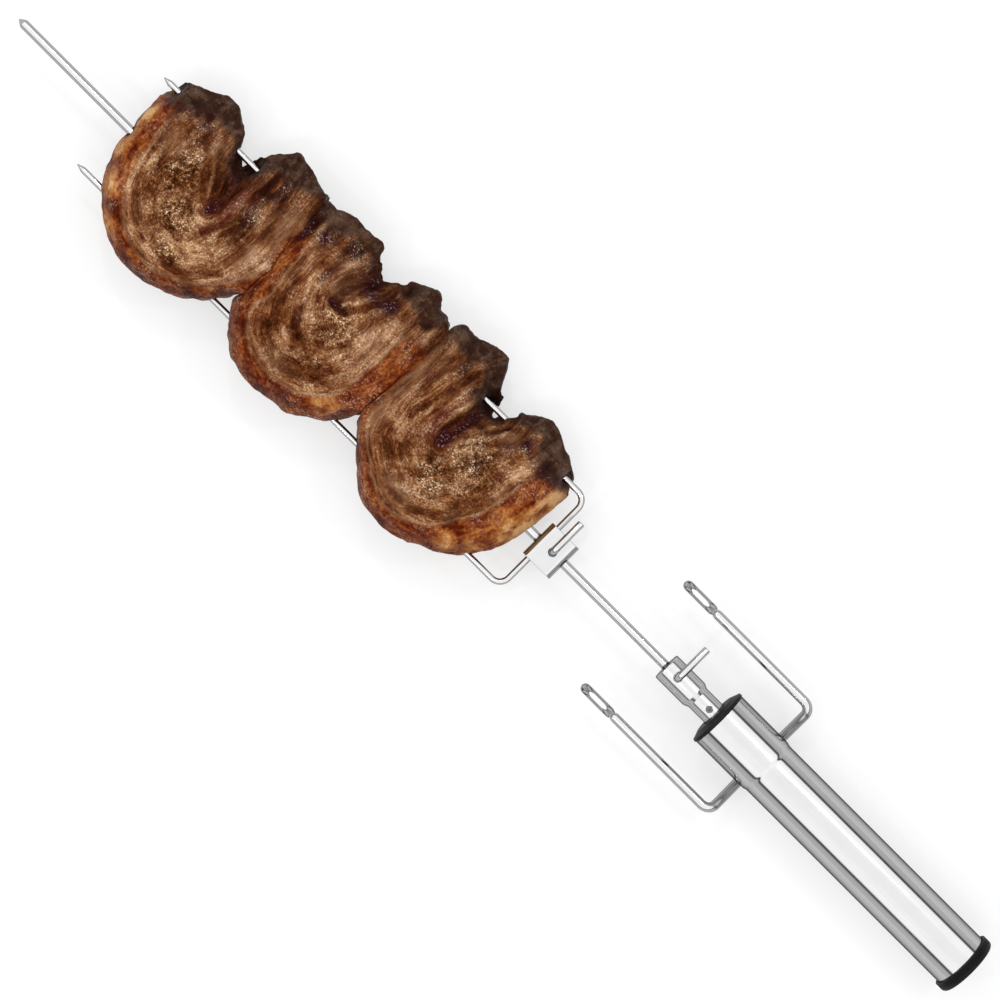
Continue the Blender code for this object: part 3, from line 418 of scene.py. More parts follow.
ALONG = (0.02, 1, 1)
ACROSS = (1, 0.05, 0.05)
METALS = {
    "tube_steel": ((0.475, 0.475, 0.48), 0.10, ALONG),
    "rod_steel": ((0.475, 0.475, 0.48), 0.13, ACROSS),
    "turned_steel": ((0.475, 0.475, 0.48), 0.14, ACROSS),
    "plate_steel": ((0.44, 0.44, 0.45), 0.28, ALONG),
    "motor_steel": ((0.46, 0.46, 0.47), 0.30, ACROSS),
    "dark_steel": ((0.13, 0.13, 0.135), 0.38, ACROSS),
    "brass": ((0.68, 0.50, 0.20), 0.26, ACROSS),
    "gear_brass": ((0.70, 0.54, 0.26), 0.24, ACROSS),
    "bronze": ((0.56, 0.36, 0.19), 0.32, ACROSS),
    "cell_jacket": ((0.10, 0.12, 0.20), 0.34, ALONG),
}
PLASTICS = {
    "black_plastic": ((0.004, 0.004, 0.004), 0.5),
    "grey_plastic": ((0.22, 0.23, 0.24), 0.5),
    "red_lead": ((0.42, 0.02, 0.02), 0.45),
    "black_lead": ((0.012, 0.012, 0.012), 0.45),
}


def make_materials():
    """One procedural material for each slot of the record."""
    made = {name: metal(name, *look) for name, look in METALS.items()}
    made.update({name: plastic(name, *look) for name, look in PLASTICS.items()})
    return {**made, "roast_meat": meat_material()}


# Mesh helpers

REPLACED = set()


def add_piece(name, mesh, slot, node, body, sharp=35):
    """Link a finished mesh as a visible piece that takes a CAD node's place."""
    edit = bmesh.new()
    edit.from_mesh(mesh)
    bmesh.ops.recalc_face_normals(edit, faces=edit.faces)
    edit.to_mesh(mesh)
    edit.free()
    mesh.materials.clear()
    mesh.materials.append(MATERIALS[slot])
    mesh.shade_smooth()
    mesh.set_sharp_from_angle(angle=math.radians(sharp))
    piece = linked(name, mesh)
    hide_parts(node)
    REPLACED.add(node)
    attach(piece, body)


def skin(rings, closed=False):
    """Join rings of points with faces; a ring of one point makes a fan, and closed joins the ends."""
    verts = []
    loops = []
    for ring in rings:
        loops.append(range(len(verts), len(verts) + len(ring)))
        verts.extend(tuple(p) for p in ring)
    faces = []
    pairs = list(zip(loops, loops[1:]))
    if closed:
        pairs.append((loops[-1], loops[0]))
    for a, b in pairs:
        count = max(len(a), len(b))
        for i in range(count):
            j = (i + 1) % count
            if len(a) == 1:
                faces.append((a[0], b[j], b[i]))
            elif len(b) == 1:
                faces.append((a[i], a[j], b[0]))
            else:
                faces.append((a[i], a[j], b[j], b[i]))
    return verts, faces


def mesh_from(name, verts, faces):
    """A mesh from points and faces."""
    mesh = bpy.data.meshes.new(name)
    mesh.from_pydata(verts, [], faces)
    return mesh


def rounded(corners, radii, steps=4):
    """A path through corner points, each inner corner rounded to its radius, or left sharp at 0."""
    corners = [Vector(c) for c in corners]
    path = [corners[0]]
    for before, corner, after, radius in zip(corners, corners[1:], corners[2:], radii):
        if radius == 0:
            path.append(corner)
            continue
        back = (before - corner).normalized()
        ahead = (after - corner).normalized()
        half = back.angle(ahead) / 2
        centre = corner + (back + ahead).normalized() * radius / math.sin(half)
        start = corner + back * radius / math.tan(half) - centre
        end = corner + ahead * radius / math.tan(half) - centre
        sweep = start.angle(end)
        for i in range(steps + 1):
            t = i / steps
            blend = start * math.sin((1 - t) * sweep) + end * math.sin(t * sweep)
            path.append(centre + blend / math.sin(sweep))
    path.append(corners[-1])
    return path


def lathe(name, profile, segments, closed=False, dents=None):
    """A mesh turned about the X axis from (x, radius) points in millimetres."""
    rings = []
    for x, radius in profile:
        if radius == 0:
            rings.append([(x * MM, 0, 0)])
            continue
        ring = []
        for i in range(segments):
            turn = TWO_PI * i / segments
            r = (radius - (dents(x, radius, i) if dents else 0)) * MM
            ring.append((x * MM, r * math.cos(turn), r * math.sin(turn)))
        rings.append(ring)
    return mesh_from(name, *skin(rings, closed))


def profile_of(points):
    """A lathe profile from (x, radius, fillet) points in millimetres."""
    corners = [(x, r, 0) for x, r, fillet in points]
    fillets = [fillet for x, r, fillet in points[1:-1]]
    return [(p.x, p.y) for p in rounded(corners, fillets)]


def tube_along(name, rows, segments):
    """A round bar with closed ends through (point, radius) rows in millimetres."""
    points = [Vector(p) * MM for p, _ in rows]
    rings = []
    normal = None
    for i, point in enumerate(points):
        ahead = points[min(i + 1, len(points) - 1)]
        behind = points[max(i - 1, 0)]
        along = (ahead - behind).normalized()
        if normal is None:
            normal = along.orthogonal().normalized()
        normal = (normal - along * normal.dot(along)).normalized()
        side = along.cross(normal)
        r = rows[i][1] * MM
        turns = [TWO_PI * k / segments for k in range(segments)]
        rings.append([point + normal * r * math.cos(a) + side * r * math.sin(a) for a in turns])
    rings = [[points[0]], *rings, [points[-1]]]
    return mesh_from(name, *skin(rings))


def stadium(length, width, radius, steps):
    """Points of a rounded rectangle about its centre."""
    points = []
    for cx, cy, quarter in ((1, 1, 0), (-1, 1, 1), (-1, -1, 2), (1, -1, 3)):
        for i in range(steps + 1):
            angle = math.pi / 2 * (quarter + i / steps)
            x = cx * (length / 2 - radius) + radius * math.cos(angle)
            y = cy * (width / 2 - radius) + radius * math.sin(angle)
            points.append((x, y))
    return points


def applied(obj):
    """The object's mesh with its modifiers applied."""
    depsgraph = bpy.context.evaluated_depsgraph_get()
    depsgraph.update()
    return bpy.data.meshes.new_from_object(obj.evaluated_get(depsgraph))


def boolean(mesh, cutters, operation="DIFFERENCE", solver="EXACT"):
    """Cut a mesh with others, or join them to it."""
    base = linked("base", mesh)
    helpers = [base]
    for cutter in cutters:
        tool = linked("tool", cutter)
        helpers.append(tool)
        mod = base.modifiers.new("cut", "BOOLEAN")
        mod.operation = operation
        mod.solver = solver
        mod.object = tool
    result = applied(base)
    for helper in helpers:
        bpy.data.objects.remove(helper, do_unlink=True)
    return result


def rod(start, end, radius, segments=32):
    """A straight cutter between two points in millimetres."""
    return tube_along("rod", [(start, radius), (end, radius)], segments)


# Steel and plastic pieces

TUBE_WALL = 1.0
KNURLS = 150
KNURL_DEPTH = 0.35
CAP_RADIUS = 22.0
CAP_KNURL = (3.2, 6.9)
CAP_LINES = (4.3, 5.6)
ROD_BORE = 3.6
SCREW_HOLE = 3.1
SET_SCREW = (237.8, 2.45)
COUPLING_SCREW_X = 266.6
CLAMP_SCREW_X = 381.1
TINE_Y = 39.7


def cap_dents(x, radius, index):
    """How far the knurl sinks below the cap's skirt."""
    if radius < CAP_RADIUS - 0.1 or not CAP_KNURL[0] < x < CAP_KNURL[1]:
        return 0
    ringed = any(abs(x - line) < 0.12 for line in CAP_LINES)
    return KNURL_DEPTH if ringed or index % 4 == 0 else 0


def build_handle():
    """The tube with its rolled groove and shoulder, and both caps."""
    outer = profile_of([
        (228.1, 20.85, 0), (187.4, 20.85, 0), (186.5, 20.80, 0), (185.7, 20.68, 0), (185.0, 20.52, 0),
        (184.0, 20.18, 0), (183.3, 20.07, 0), (182.5, 20.01, 0), (181.6, 20.0, 0), (2.9, 20.0, 0),
    ])
    inner = [(x, r - TUBE_WALL) for x, r in reversed(outer)]
    shell = lathe("handle_shell", outer + inner, 160, closed=True)
    add_piece("handle_shell", shell, "tube_steel", "handle_tube", "handle")

    knurl = [CAP_KNURL[0] + 0.02 + 0.1 * i for i in range(37)]
    skirt = [(x, CAP_RADIUS) for x in reversed(knurl)]
    edge = profile_of([(2.6, CAP_RADIUS, 0), (0, CAP_RADIUS, 2.4), (0, 0, 0)])
    profile = [
        (2.3, 0), (2.3, 16.0), (2.7, 16.4), (11.0, 16.4), (11.0, 18.2), (10.6, 18.6), (2.6, 18.6),
        (2.6, 20.3), (7.5, 20.3), (7.5, 21.7), (7.2, CAP_RADIUS), *skirt, *edge,
    ]
    shell = lathe("rear_cap_shell", profile, 4 * KNURLS, dents=cap_dents)
    add_piece("rear_cap_shell", shell, "black_plastic", "rear_cap", "rear_cap")

    profile = profile_of([
        (232.6, 9.0, 0), (232.6, 15.4, 0.5), (230.8, 20.1, 0.3), (230.5, 21.4, 0.7), (228.4, 21.4, 0.4),
        (228.4, 19.55, 0), (214.0, 19.55, 0), (214.0, 11.3, 0), (229.6, 11.3, 0), (229.6, 9.0, 0),
    ])
    shell = lathe("front_cap_shell", profile, 144, closed=True)
    add_piece("front_cap_shell", shell, "black_plastic", "front_cap", "handle")


def build_drive():
    """The turned coupling with its bores and its two screw holes."""
    profile = profile_of([
        (276.7, 0, 0), (276.7, 10.0, 1.0), (251.2, 10.0, 1.2), (247.8, 8.4, 1.2), (215.0, 8.4, 0),
        (215.0, 3.3, 0), (244.3, 3.3, 0), (244.3, 0, 0),
    ])
    blank = lathe("coupling_body", profile, 128)
    x, radius = SET_SCREW
    cutters = [
        rod((252.5, 0, 0), (280, 0, 0), ROD_BORE),
        rod((x, 0, 1), (x, 0, 12), radius),
        rod((COUPLING_SCREW_X, 0, 1), (COUPLING_SCREW_X, 0, 14), SCREW_HOLE),
    ]
    add_piece("coupling_body", boolean(blank, cutters), "turned_steel", "coupling", "drive")


def build_spit():
    """The round spit with its ground point."""
    profile = profile_of([
        (869.6, 0, 0), (869.3, 0.5, 0), (865.4, 3.2, 1.5), (252.8, 3.2, 0.4), (252.8, 0, 0),
    ])
    add_piece("spit_bar", lathe("spit_bar", profile, 48), "rod_steel", "spit_rod", "spit")


THREAD_PITCH = 0.5
SCREW_FOOT = 3.5
SCREW_RADIUS = 2.45


def build_bent_screw(name, x, arm_z, node):
    """A clamp screw: a threaded leg down to the spit, a bend and a plain arm."""
    corners = [(x, 0, SCREW_FOOT), (x, 0, arm_z), (x, -26.5, arm_z)]
    bend = rounded(corners, [4.2], 12)
    rows = []
    top = bend[1].z - 0.6
    turns = int((top - SCREW_FOOT) / THREAD_PITCH)
    for i in range(turns):
        z = SCREW_FOOT + i * THREAD_PITCH
        for rise, radius in ((0.0, 2.5), (0.12, 2.75), (0.30, 2.75), (0.42, 2.5)):
            rows.append(((x, 0, z + rise), radius if i else radius - 0.3))
    rows += [(point, SCREW_RADIUS) for point in bend[1:-1]]
    rows += [((x, y, arm_z), r) for y, r in ((-25.9, SCREW_RADIUS), (-26.35, 2.2), (-26.5, 1.8))]
    add_piece(name, tube_along(name, rows, 32), "rod_steel", node, node, sharp=45)


CLAMP_X = 382.35
CLAMP = (23.9, 24.0, 5.2)
CLAMP_WALL = 2.7
CLAMP_REACH = 13.7
TINE_RADIUS = 2.1


def build_fork():
    """The clamp, a length of square tube, and the two bent tines."""
    length, height, corner = CLAMP
    levels = (
        (-CLAMP_REACH, 0.35), (-13.35, 0.0), (13.35, 0.0), (CLAMP_REACH, 0.35),
        (CLAMP_REACH, CLAMP_WALL), (-CLAMP_REACH, CLAMP_WALL),
    )
    rings = []
    for y, inset in levels:
        outline = stadium(length - 2 * inset, height - 2 * inset, corner - inset, 10)
        rings.append([((CLAMP_X + a) * MM, y * MM, b * MM) for a, b in outline])
    blank = mesh_from("clamp_body", *skin(rings, closed=True))
    cutters = [
        rod((CLAMP_X - 20, 0, 0), (CLAMP_X + 20, 0, 0), ROD_BORE),
        rod((CLAMP_SCREW_X, 0, 6), (CLAMP_SCREW_X, 0, 20), SCREW_HOLE),
    ]
    add_piece("clamp_body", boolean(blank, cutters), "turned_steel", "fork_clamp", "fork")
    for side, name in ((1, "left"), (-1, "right")):
        y = side * TINE_Y
        corners = [(389.2, side * 4.6, 0), (389.2, y, 0), (776.4, y, 0)]
        rows = [(point, TINE_RADIUS) for point in rounded(corners, [8.0], 16)[:-1]]
        tip = ((770.9, TINE_RADIUS), (771.6, 2.0), (775.9, 0.45), (776.4, 0.15))
        rows += [((x, y, 0), radius) for x, radius in tip]
        bar = tube_along(f"tine_{name}_bar", rows, 32)
        add_piece(f"tine_{name}_bar", bar, "rod_steel", f"tine_{name}", "fork")


FRAME_ARM = (47.2, -3.0)
WIRE_RADIUS = 3.25
EYE_CENTRE = 292.15
EYE_SLOT = 291.8


def build_eye(side):
    """A flattened wire end: a long eye, flat below and countersunk to its slot above."""
    y, z = side * FRAME_ARM[0], FRAME_ARM[1]
    rings = []
    levels = (
        (28.5, 6.9, 1.2, EYE_CENTRE),
        (28.1, 6.5, 2.0, EYE_CENTRE),
        (27.2, 5.9, 2.3, EYE_CENTRE),
        (23.0, 5.0, 0.6, EYE_CENTRE),
        (17.4, 4.4, -1.0, EYE_SLOT),
        (15.6, 3.9, -1.8, EYE_SLOT),
        (15.6, 3.9, -2.3, EYE_SLOT),
        (27.6, 6.2, -2.3, EYE_CENTRE),
        (28.5, 6.9, -1.5, EYE_CENTRE),
    )
    for length, width, height, x in levels:
        outline = stadium(length, width, width / 2 - 0.001, 12)
        if x == EYE_SLOT:
            turns = [math.atan2(b / width, a / length) for a, b in outline]
            outline = [(length / 2 * math.cos(t), width / 2 * math.sin(t)) for t in turns]
        rings.append([((x + a) * MM, (y + b) * MM, (z + height) * MM) for a, b in outline])
    return mesh_from("eye", *skin(rings, closed=True))


def build_frame():
    """The support frame, one bent wire with an eye at each end."""
    arm_y, arm_z = FRAME_ARM
    half = [(281.0, arm_y, arm_z), (190.2, arm_y, arm_z), (188.1, 13.0, -24.5)]
    corners = half + [(x, -y, z) for x, y, z in reversed(half)]
    neck = [(279.8, 1.5), (278.9, 2.2), (278.1, 2.7), (277.3, 3.05), (276.5, 3.2), (275.7, WIRE_RADIUS)]
    rows = [((x, arm_y, arm_z), r) for x, r in neck]
    rows += [(p, WIRE_RADIUS) for p in rounded(corners, [7.5, 9.0, 9.0, 7.5], 14)[1:-1]]
    rows += [((x, -arm_y, arm_z), r) for x, r in reversed(neck)]
    joined = boolean(tube_along("frame_wire", rows, 36), [build_eye(1), build_eye(-1)], "UNION")
    add_piece("frame_wire", joined, "rod_steel", "support_frame", "support_frame", sharp=50)


# Meat

# Each slice, in millimetres. start, rim and finish together are its outline; crease is the notch's line.
# fat is (share of the way round the rim, width of the fat) and char is where the char starts along X.
# slumps are (x, y, radius, sink), folds are (line, depth, width), and the patches of each mask are
# (x, y, radius x, radius y, strength).
# Some patches stand for light and shade: the shade patches are painted shade, the clot patches partly
# painted shade in hollows and joints, the pale and glow patches partly painted light
TIP_PATCHES = {
    "gold_and_glints": [
        (722.1, -5.2, 15.5, 19.4, 1), (704.6, 18.1, 11.6, 12.9, 1), (733.1, -25.9, 10.4, 7.8, 0.6),
        (692.9, 38.8, 9.1, 5.2, 0.9), (680, 12.9, 7.8, 16.8, 0.35), (668.4, -9.7, 5.2, 16.8, 0.4),
    ],
    "pale": [
        (652.8, 3.2, 4.5, 29.8, 0.7), (650.9, -27.2, 3.9, 12.9, 1), (737.6, -16.2, 6.5, 8.4, 0.8),
        (715.6, -32.4, 5.8, 7.1, 0.75), (725.3, 33.6, 5.2, 5.8, 0.45), (692.9, 49.2, 16.8, 2.3, 0.2),
        (661.9, -25.9, 6.5, 10.4, 0.35),
    ],
    "clot_and_shade": [
        (732.4, -36.9, 5.2, 7.1, 1.1), (725.3, -27.2, 4.5, 5.2, 0.4), (695.5, -25.9, 3.9, 11.6, 0.7),
        (693.6, -2.6, 4.5, 7.1, 0.9), (724, -36.2, 7.8, 7.8, 0.35), (675.5, -25.9, 3.2, 9.1, 0.4),
        (752.5, -33.6, 15.5, 3.9, 0.45),
    ],
    "red": [
        (683.9, -9.7, 4.5, 20.7, 1.2), (754.4, -22.6, 6.5, 11.6, 0.55), (756.3, -5.2, 4.5, 10.4, 0.5),
        (717.5, 53.1, 11.6, 3.2, 0.4),
    ],
    "pale_lit_rim": [
        (764.1, -16.2, 4.5, 12.9, 0.62), (761.5, 9.7, 5.8, 11.6, 0.42), (749.9, 37.5, 7.8, 10.4, 0.72),
        (733.1, 51.8, 9.1, 5.2, 0.5), (741.5, 22.6, 5.8, 9.1, 0.5),
    ],
    "shade": [
        (669.6, -40.1, 10.4, 11.6, 2), (669.6, -12.9, 7.8, 18.1, 0.9), (663.8, 47.9, 6.5, 4.5, 0.7),
        (659.3, -45.3, 6.5, 7.8, 0.5), (702.6, 62.1, 16.8, 3.2, 0.45), (644.4, -45.3, 4.5, 7.1, 1),
        (678.7, -47.9, 6.5, 7.8, 0.8), (704.6, -14.2, 5.8, 9.1, 0.4),
    ],
}
TIP = {
    "start": [
        (700.7, -32.4), (705.9, -37.5), (711.1, -45.3), (713, -49.8), (717.5, -53.1), (723.3, -56.9),
        (728.5, -61.5), (734.3, -60.8), (739.5, -60.2), (749.2, -55), (757.6, -51.1), (764.1, -48.5),
    ],
    "rim": [
        (767.3, -44), (769.6, -35.6), (769.6, -22.6), (769.3, -9.7), (768.6, 0), (767.3, 9.7),
        (764.1, 19.4), (759.6, 29.8), (754.4, 38.8), (747.3, 46.6), (738.2, 53.1), (728.5, 58.9),
        (717.5, 62.8), (708.5, 64.1), (699.4, 64.1), (689.1, 62.8), (680, 60.2), (671.6, 55.6),
        (663.8, 50.5), (656.7, 44), (650.9, 36.9), (647, 32.4), (645.3, 27.2), (644.9, 12.9), (644.7, -6.5),
        (644.7, -25.9), (644.7, -45.3), (645.1, -54.3),
    ],
    "finish": [
        (646.4, -60.8), (650.2, -60.2), (657.4, -61.5), (662.5, -64.7), (667.1, -66), (673.5, -66.6),
        (680, -67.3), (682.6, -64.7), (685.2, -61.5), (691.6, -53.1), (695.5, -46.6), (697.5, -42.1),
        (697.5, -36.9),
    ],
    "crease": [(698.8, -40.1), (696.2, -32.4), (693.6, -24.6), (691, -15.5), (689.7, -6.5), (691.6, 1.9)],
    "fat": [
        (0, 13), (0.1, 19), (0.25, 19), (0.34, 15), (0.45, 9.5), (0.58, 8), (0.7, 5), (0.78, 2.5), (1, 2),
    ],
    "char": [
        (770.6, 32.4), (760.9, 29.8), (751.2, 29.8), (741.5, 36.2), (728.5, 45.3), (715.6, 42.7),
        (705.9, 29.8), (692.9, 31.1), (685.2, 42.7), (676.8, 49.2), (663.8, 49.2), (654.1, 51.8),
        (643.8, 50.5),
    ],
    "slumps": [(769.3, -39.5, 8.4, 15), (768.6, 0, 5.8, 12), (698.8, -39.5, 8.4, 12)],
    "folds": [
        ([
            (734.3, -42.7), (727.9, -34.9), (720.1, -27.2), (712.3, -18.1), (704.6, -9.1), (698.1, -1.3),
        ], 1.9, 1.8),
        ([(720.1, -42.7), (713.6, -33.6), (706.5, -23.3), (699.4, -12.9), (694.2, -3.9)], 1.7, 1.5),
        ([(674.8, -46.6), (675.5, -33.6), (678.1, -19.4), (678.1, -5.2), (673.5, 9.1)], 1.4, 2.4),
        ([(743.4, -25.9), (745.3, -6.5), (739.5, 14.2), (726.6, 33.6), (708.5, 45.3)], 0.8, 1.6),
        ([(663.8, -40.1), (660.6, -25.9), (660.6, -3.2), (663.2, 19.4), (673.5, 37.5)], 0.8, 1.5),
        ([(692.9, 3.9), (695.5, 15.5), (692.9, 27.2), (681.3, 32.4)], 1.0, 2.2),
    ],
    "patches": TIP_PATCHES,
}
MIDDLE_PATCHES = {
    "gold_and_glints": [
        (582.9, 0, 16.8, 15.5, 0.9), (577.8, 22.6, 12.9, 10.4, 0.8), (637.9, -6.5, 5.8, 25.9, 0.3),
        (595.9, 35.6, 14.2, 6.5, 0.5), (564.8, -32.4, 7.8, 5.2, 0.7),
    ],
    "pale": [
        (557.1, -14.2, 9.7, 22, 0.6), (623.1, -19.4, 4.5, 16.8, 0.35), (595.9, -25.9, 9.1, 9.1, 0.3),
        (602.4, -34.9, 7.8, 9.1, 0.35), (595.9, 38.8, 11.6, 5.2, 0.6),
    ],
    "clot_and_shade": [
        (626.3, -40.1, 5.2, 5.8, 1.1), (608.8, -25.9, 3.2, 11.6, 0.6), (592, -14.2, 7.8, 1.9, 0.7),
        (582.9, -34.9, 7.8, 4.5, 0.8), (567.4, -38.8, 5.8, 6.5, 1.2), (602.4, 5.2, 3.2, 11.6, 0.45),
        (573.9, 50.5, 5.2, 5.2, 0.55), (592.7, -38.8, 5.2, 6.5, 0.5), (640.5, -38.8, 3.9, 9.1, 0.9),
    ],
    "red": [
        (537.7, -12.9, 5.2, 25.9, 0.45), (608.8, 54.3, 25.9, 4.5, 0.75), (637.9, 32.4, 5.2, 10.4, 0.7),
        (620.5, -25.9, 3.9, 15.5, 0.35),
    ],
    "pale_lit_rim": [
        (638.6, -5.2, 3.2, 7.8, 0.4), (560.3, 38.8, 9.1, 5.8, 0.6), (540.9, -16.2, 3.9, 12.9, 0.16),
        (548, 29.1, 4.5, 6.5, 0.4),
    ],
    "shade": [
        (641.2, -40.1, 6.5, 11.6, 2), (610.1, -47.9, 16.8, 7.8, 0.9), (598.5, -31.1, 6.5, 14.2, 0.3),
        (535.7, -29.1, 4.5, 14.2, 0.55), (638.6, 19.4, 3.9, 10.4, 0.4), (571.3, -40.1, 6.5, 9.1, 0.6),
    ],
}
MIDDLE = {
    "start": [],
    "rim": [
        (643.4, -54.3), (643.8, -45.3), (643.8, -25.9), (643.8, -6.5), (643.8, 12.9), (643.1, 27.2),
        (641.2, 32.4), (636, 40.1), (631.5, 46.6), (625, 52.4), (618.5, 56.9), (610.1, 59.5), (602.4, 60.8),
        (593.9, 62.1), (586.2, 61.5), (577.8, 59.5), (570, 58.9), (563.5, 56.3), (557.1, 51.8),
        (550.6, 47.2), (544.1, 42.1), (537.7, 34.9), (533.5, 28.5), (531.8, 12.9), (530.9, -6.5),
        (530.5, -25.9), (530.5, -45.3), (531.2, -54.3),
    ],
    "finish": [
        (535.1, -58.2), (540.2, -59.5), (544.1, -60.2), (548, -66), (552.5, -67.3), (557.1, -66),
        (565.5, -61.5), (569.4, -58.9), (570.7, -55), (576.5, -50.5), (581, -46.6), (584.2, -45.9),
        (588.1, -48.5), (589.4, -51.8), (592.7, -54.3), (595.9, -59.5), (597.8, -63.4), (608.8, -63.4),
        (620.5, -63.4), (625.6, -62.8), (631.5, -60.8), (636.6, -58.2), (642.5, -58.2),
    ],
    "crease": [(584.9, -47.9), (588.1, -37.5), (592, -29.8), (594.6, -22), (592, -15.5), (586.8, -12.9)],
    "fat": [
        (0, 8), (0.08, 12), (0.2, 15.5), (0.3, 13), (0.42, 12), (0.55, 12.5), (0.66, 13), (0.75, 16),
        (0.88, 15), (1, 12),
    ],
    "char": [
        (643.8, 47.9), (634.7, 45.3), (628.2, 42.7), (618.5, 49.2), (608.8, 54.3), (599.1, 53.1),
        (592.7, 45.3), (584.2, 38.8), (576.5, 47.9), (566.8, 47.9), (557.1, 45.3), (544.1, 42.7),
        (534.4, 50.5), (530.5, 54.3),
    ],
    "slumps": [],
    "folds": [
        ([
            (629.5, -44), (623.7, -33.6), (619.2, -19.4), (619.8, 0), (617.9, 19.4), (607.5, 37.5),
        ], 1.0, 2.0),
        ([
            (610.1, -42.7), (606.9, -29.8), (603.7, -16.8), (604.9, -2.6), (602.4, 11.6), (592, 23.3),
        ], 1.8, 2.4),
        ([
            (598.5, -15.5), (592, -12.9), (585.5, -14.2), (580.4, -20.7), (575.2, -28.5), (570.7, -36.2),
            (566.8, -43.3),
        ], 2.4, 2.0),
        ([(597.2, -42.7), (597.8, -32.4), (596.5, -23.3), (592.7, -15.5)], 1.6, 1.8),
        ([(563.5, -32.4), (565.5, -15.5), (563.5, 2.6), (564.8, 22), (573.9, 37.5)], 0.7, 1.8),
        ([(545.4, -38.8), (544.1, -19.4), (546.7, 0), (550.6, 19.4)], 0.9, 1.8),
    ],
    "patches": MIDDLE_PATCHES,
}
REAR_PATCHES = {
    "gold_and_glints": [
        (454.8, -3.2, 15.5, 19.4, 1), (469.7, 19.4, 11.6, 12.9, 1), (441.9, -24.6, 9.1, 7.8, 0.6),
        (479.4, 38.8, 9.1, 5.2, 0.9), (495, 16.2, 6.5, 16.8, 0.4), (505.3, -9.7, 5.2, 16.8, 0.35),
    ],
    "pale": [
        (524.1, 3.2, 5.8, 35.6, 1.3), (479.4, 42.1, 11.6, 5.8, 0.9), (444.5, 31.1, 5.2, 6.5, 0.4),
        (482.7, 49.2, 16.8, 2.3, 0.6), (520.8, -38.8, 7.8, 11.6, 0.4), (405.7, -14.2, 3.2, 14.2, 0.9),
        (431.5, -6.5, 2.6, 22, 0.5), (449, -31.7, 5.8, 6.5, 0.9),
    ],
    "clot_and_shade": [
        (440.6, -36.9, 5.2, 6.5, 1.1), (449.7, -27.2, 4.5, 5.2, 0.5), (478.1, -19.4, 3.9, 11.6, 0.7),
        (480.7, -1.9, 4.5, 7.1, 0.9), (444.5, -33.6, 7.1, 7.1, 0.3), (517.6, -23.3, 2.3, 3.2, 1.2),
        (498.8, -29.1, 3.2, 9.1, 0.4), (421.2, -32.4, 12.9, 3.9, 0.45), (507.9, -44, 3.9, 3.2, 0.5),
        (528, 11.6, 2.6, 2.6, 0.6),
    ],
    "red": [
        (491.7, -11.6, 4.5, 19.4, 0.8), (416, -5.2, 5.8, 14.2, 0.6), (418.6, -23.3, 6.5, 6.5, 0.5),
        (440.6, 51.8, 11.6, 3.2, 0.35),
    ],
    "pale_lit_rim": [
        (402.4, -9.1, 5.2, 23.3, 2.4), (410.8, 12.9, 5.2, 11.6, 0.72), (421.2, 32.4, 7.8, 9.1, 0.75),
        (434.1, 42.7, 9.1, 5.8, 0.7), (422.5, 9.7, 5.2, 10.4, 0.45),
    ],
    "shade": [
        (498.8, -46.6, 10.4, 10.4, 0.8), (524.7, -44, 5.2, 7.8, 0.6), (488.5, -38.8, 6.5, 9.1, 0.6),
        (466.5, -14.2, 5.8, 9.1, 0.35), (454.8, -3.2, 7.8, 9.1, 0.6), (469.7, 22.6, 7.8, 6.5, 0.3),
        (454.8, -40.1, 7.8, 5.2, 0.2),
    ],
}
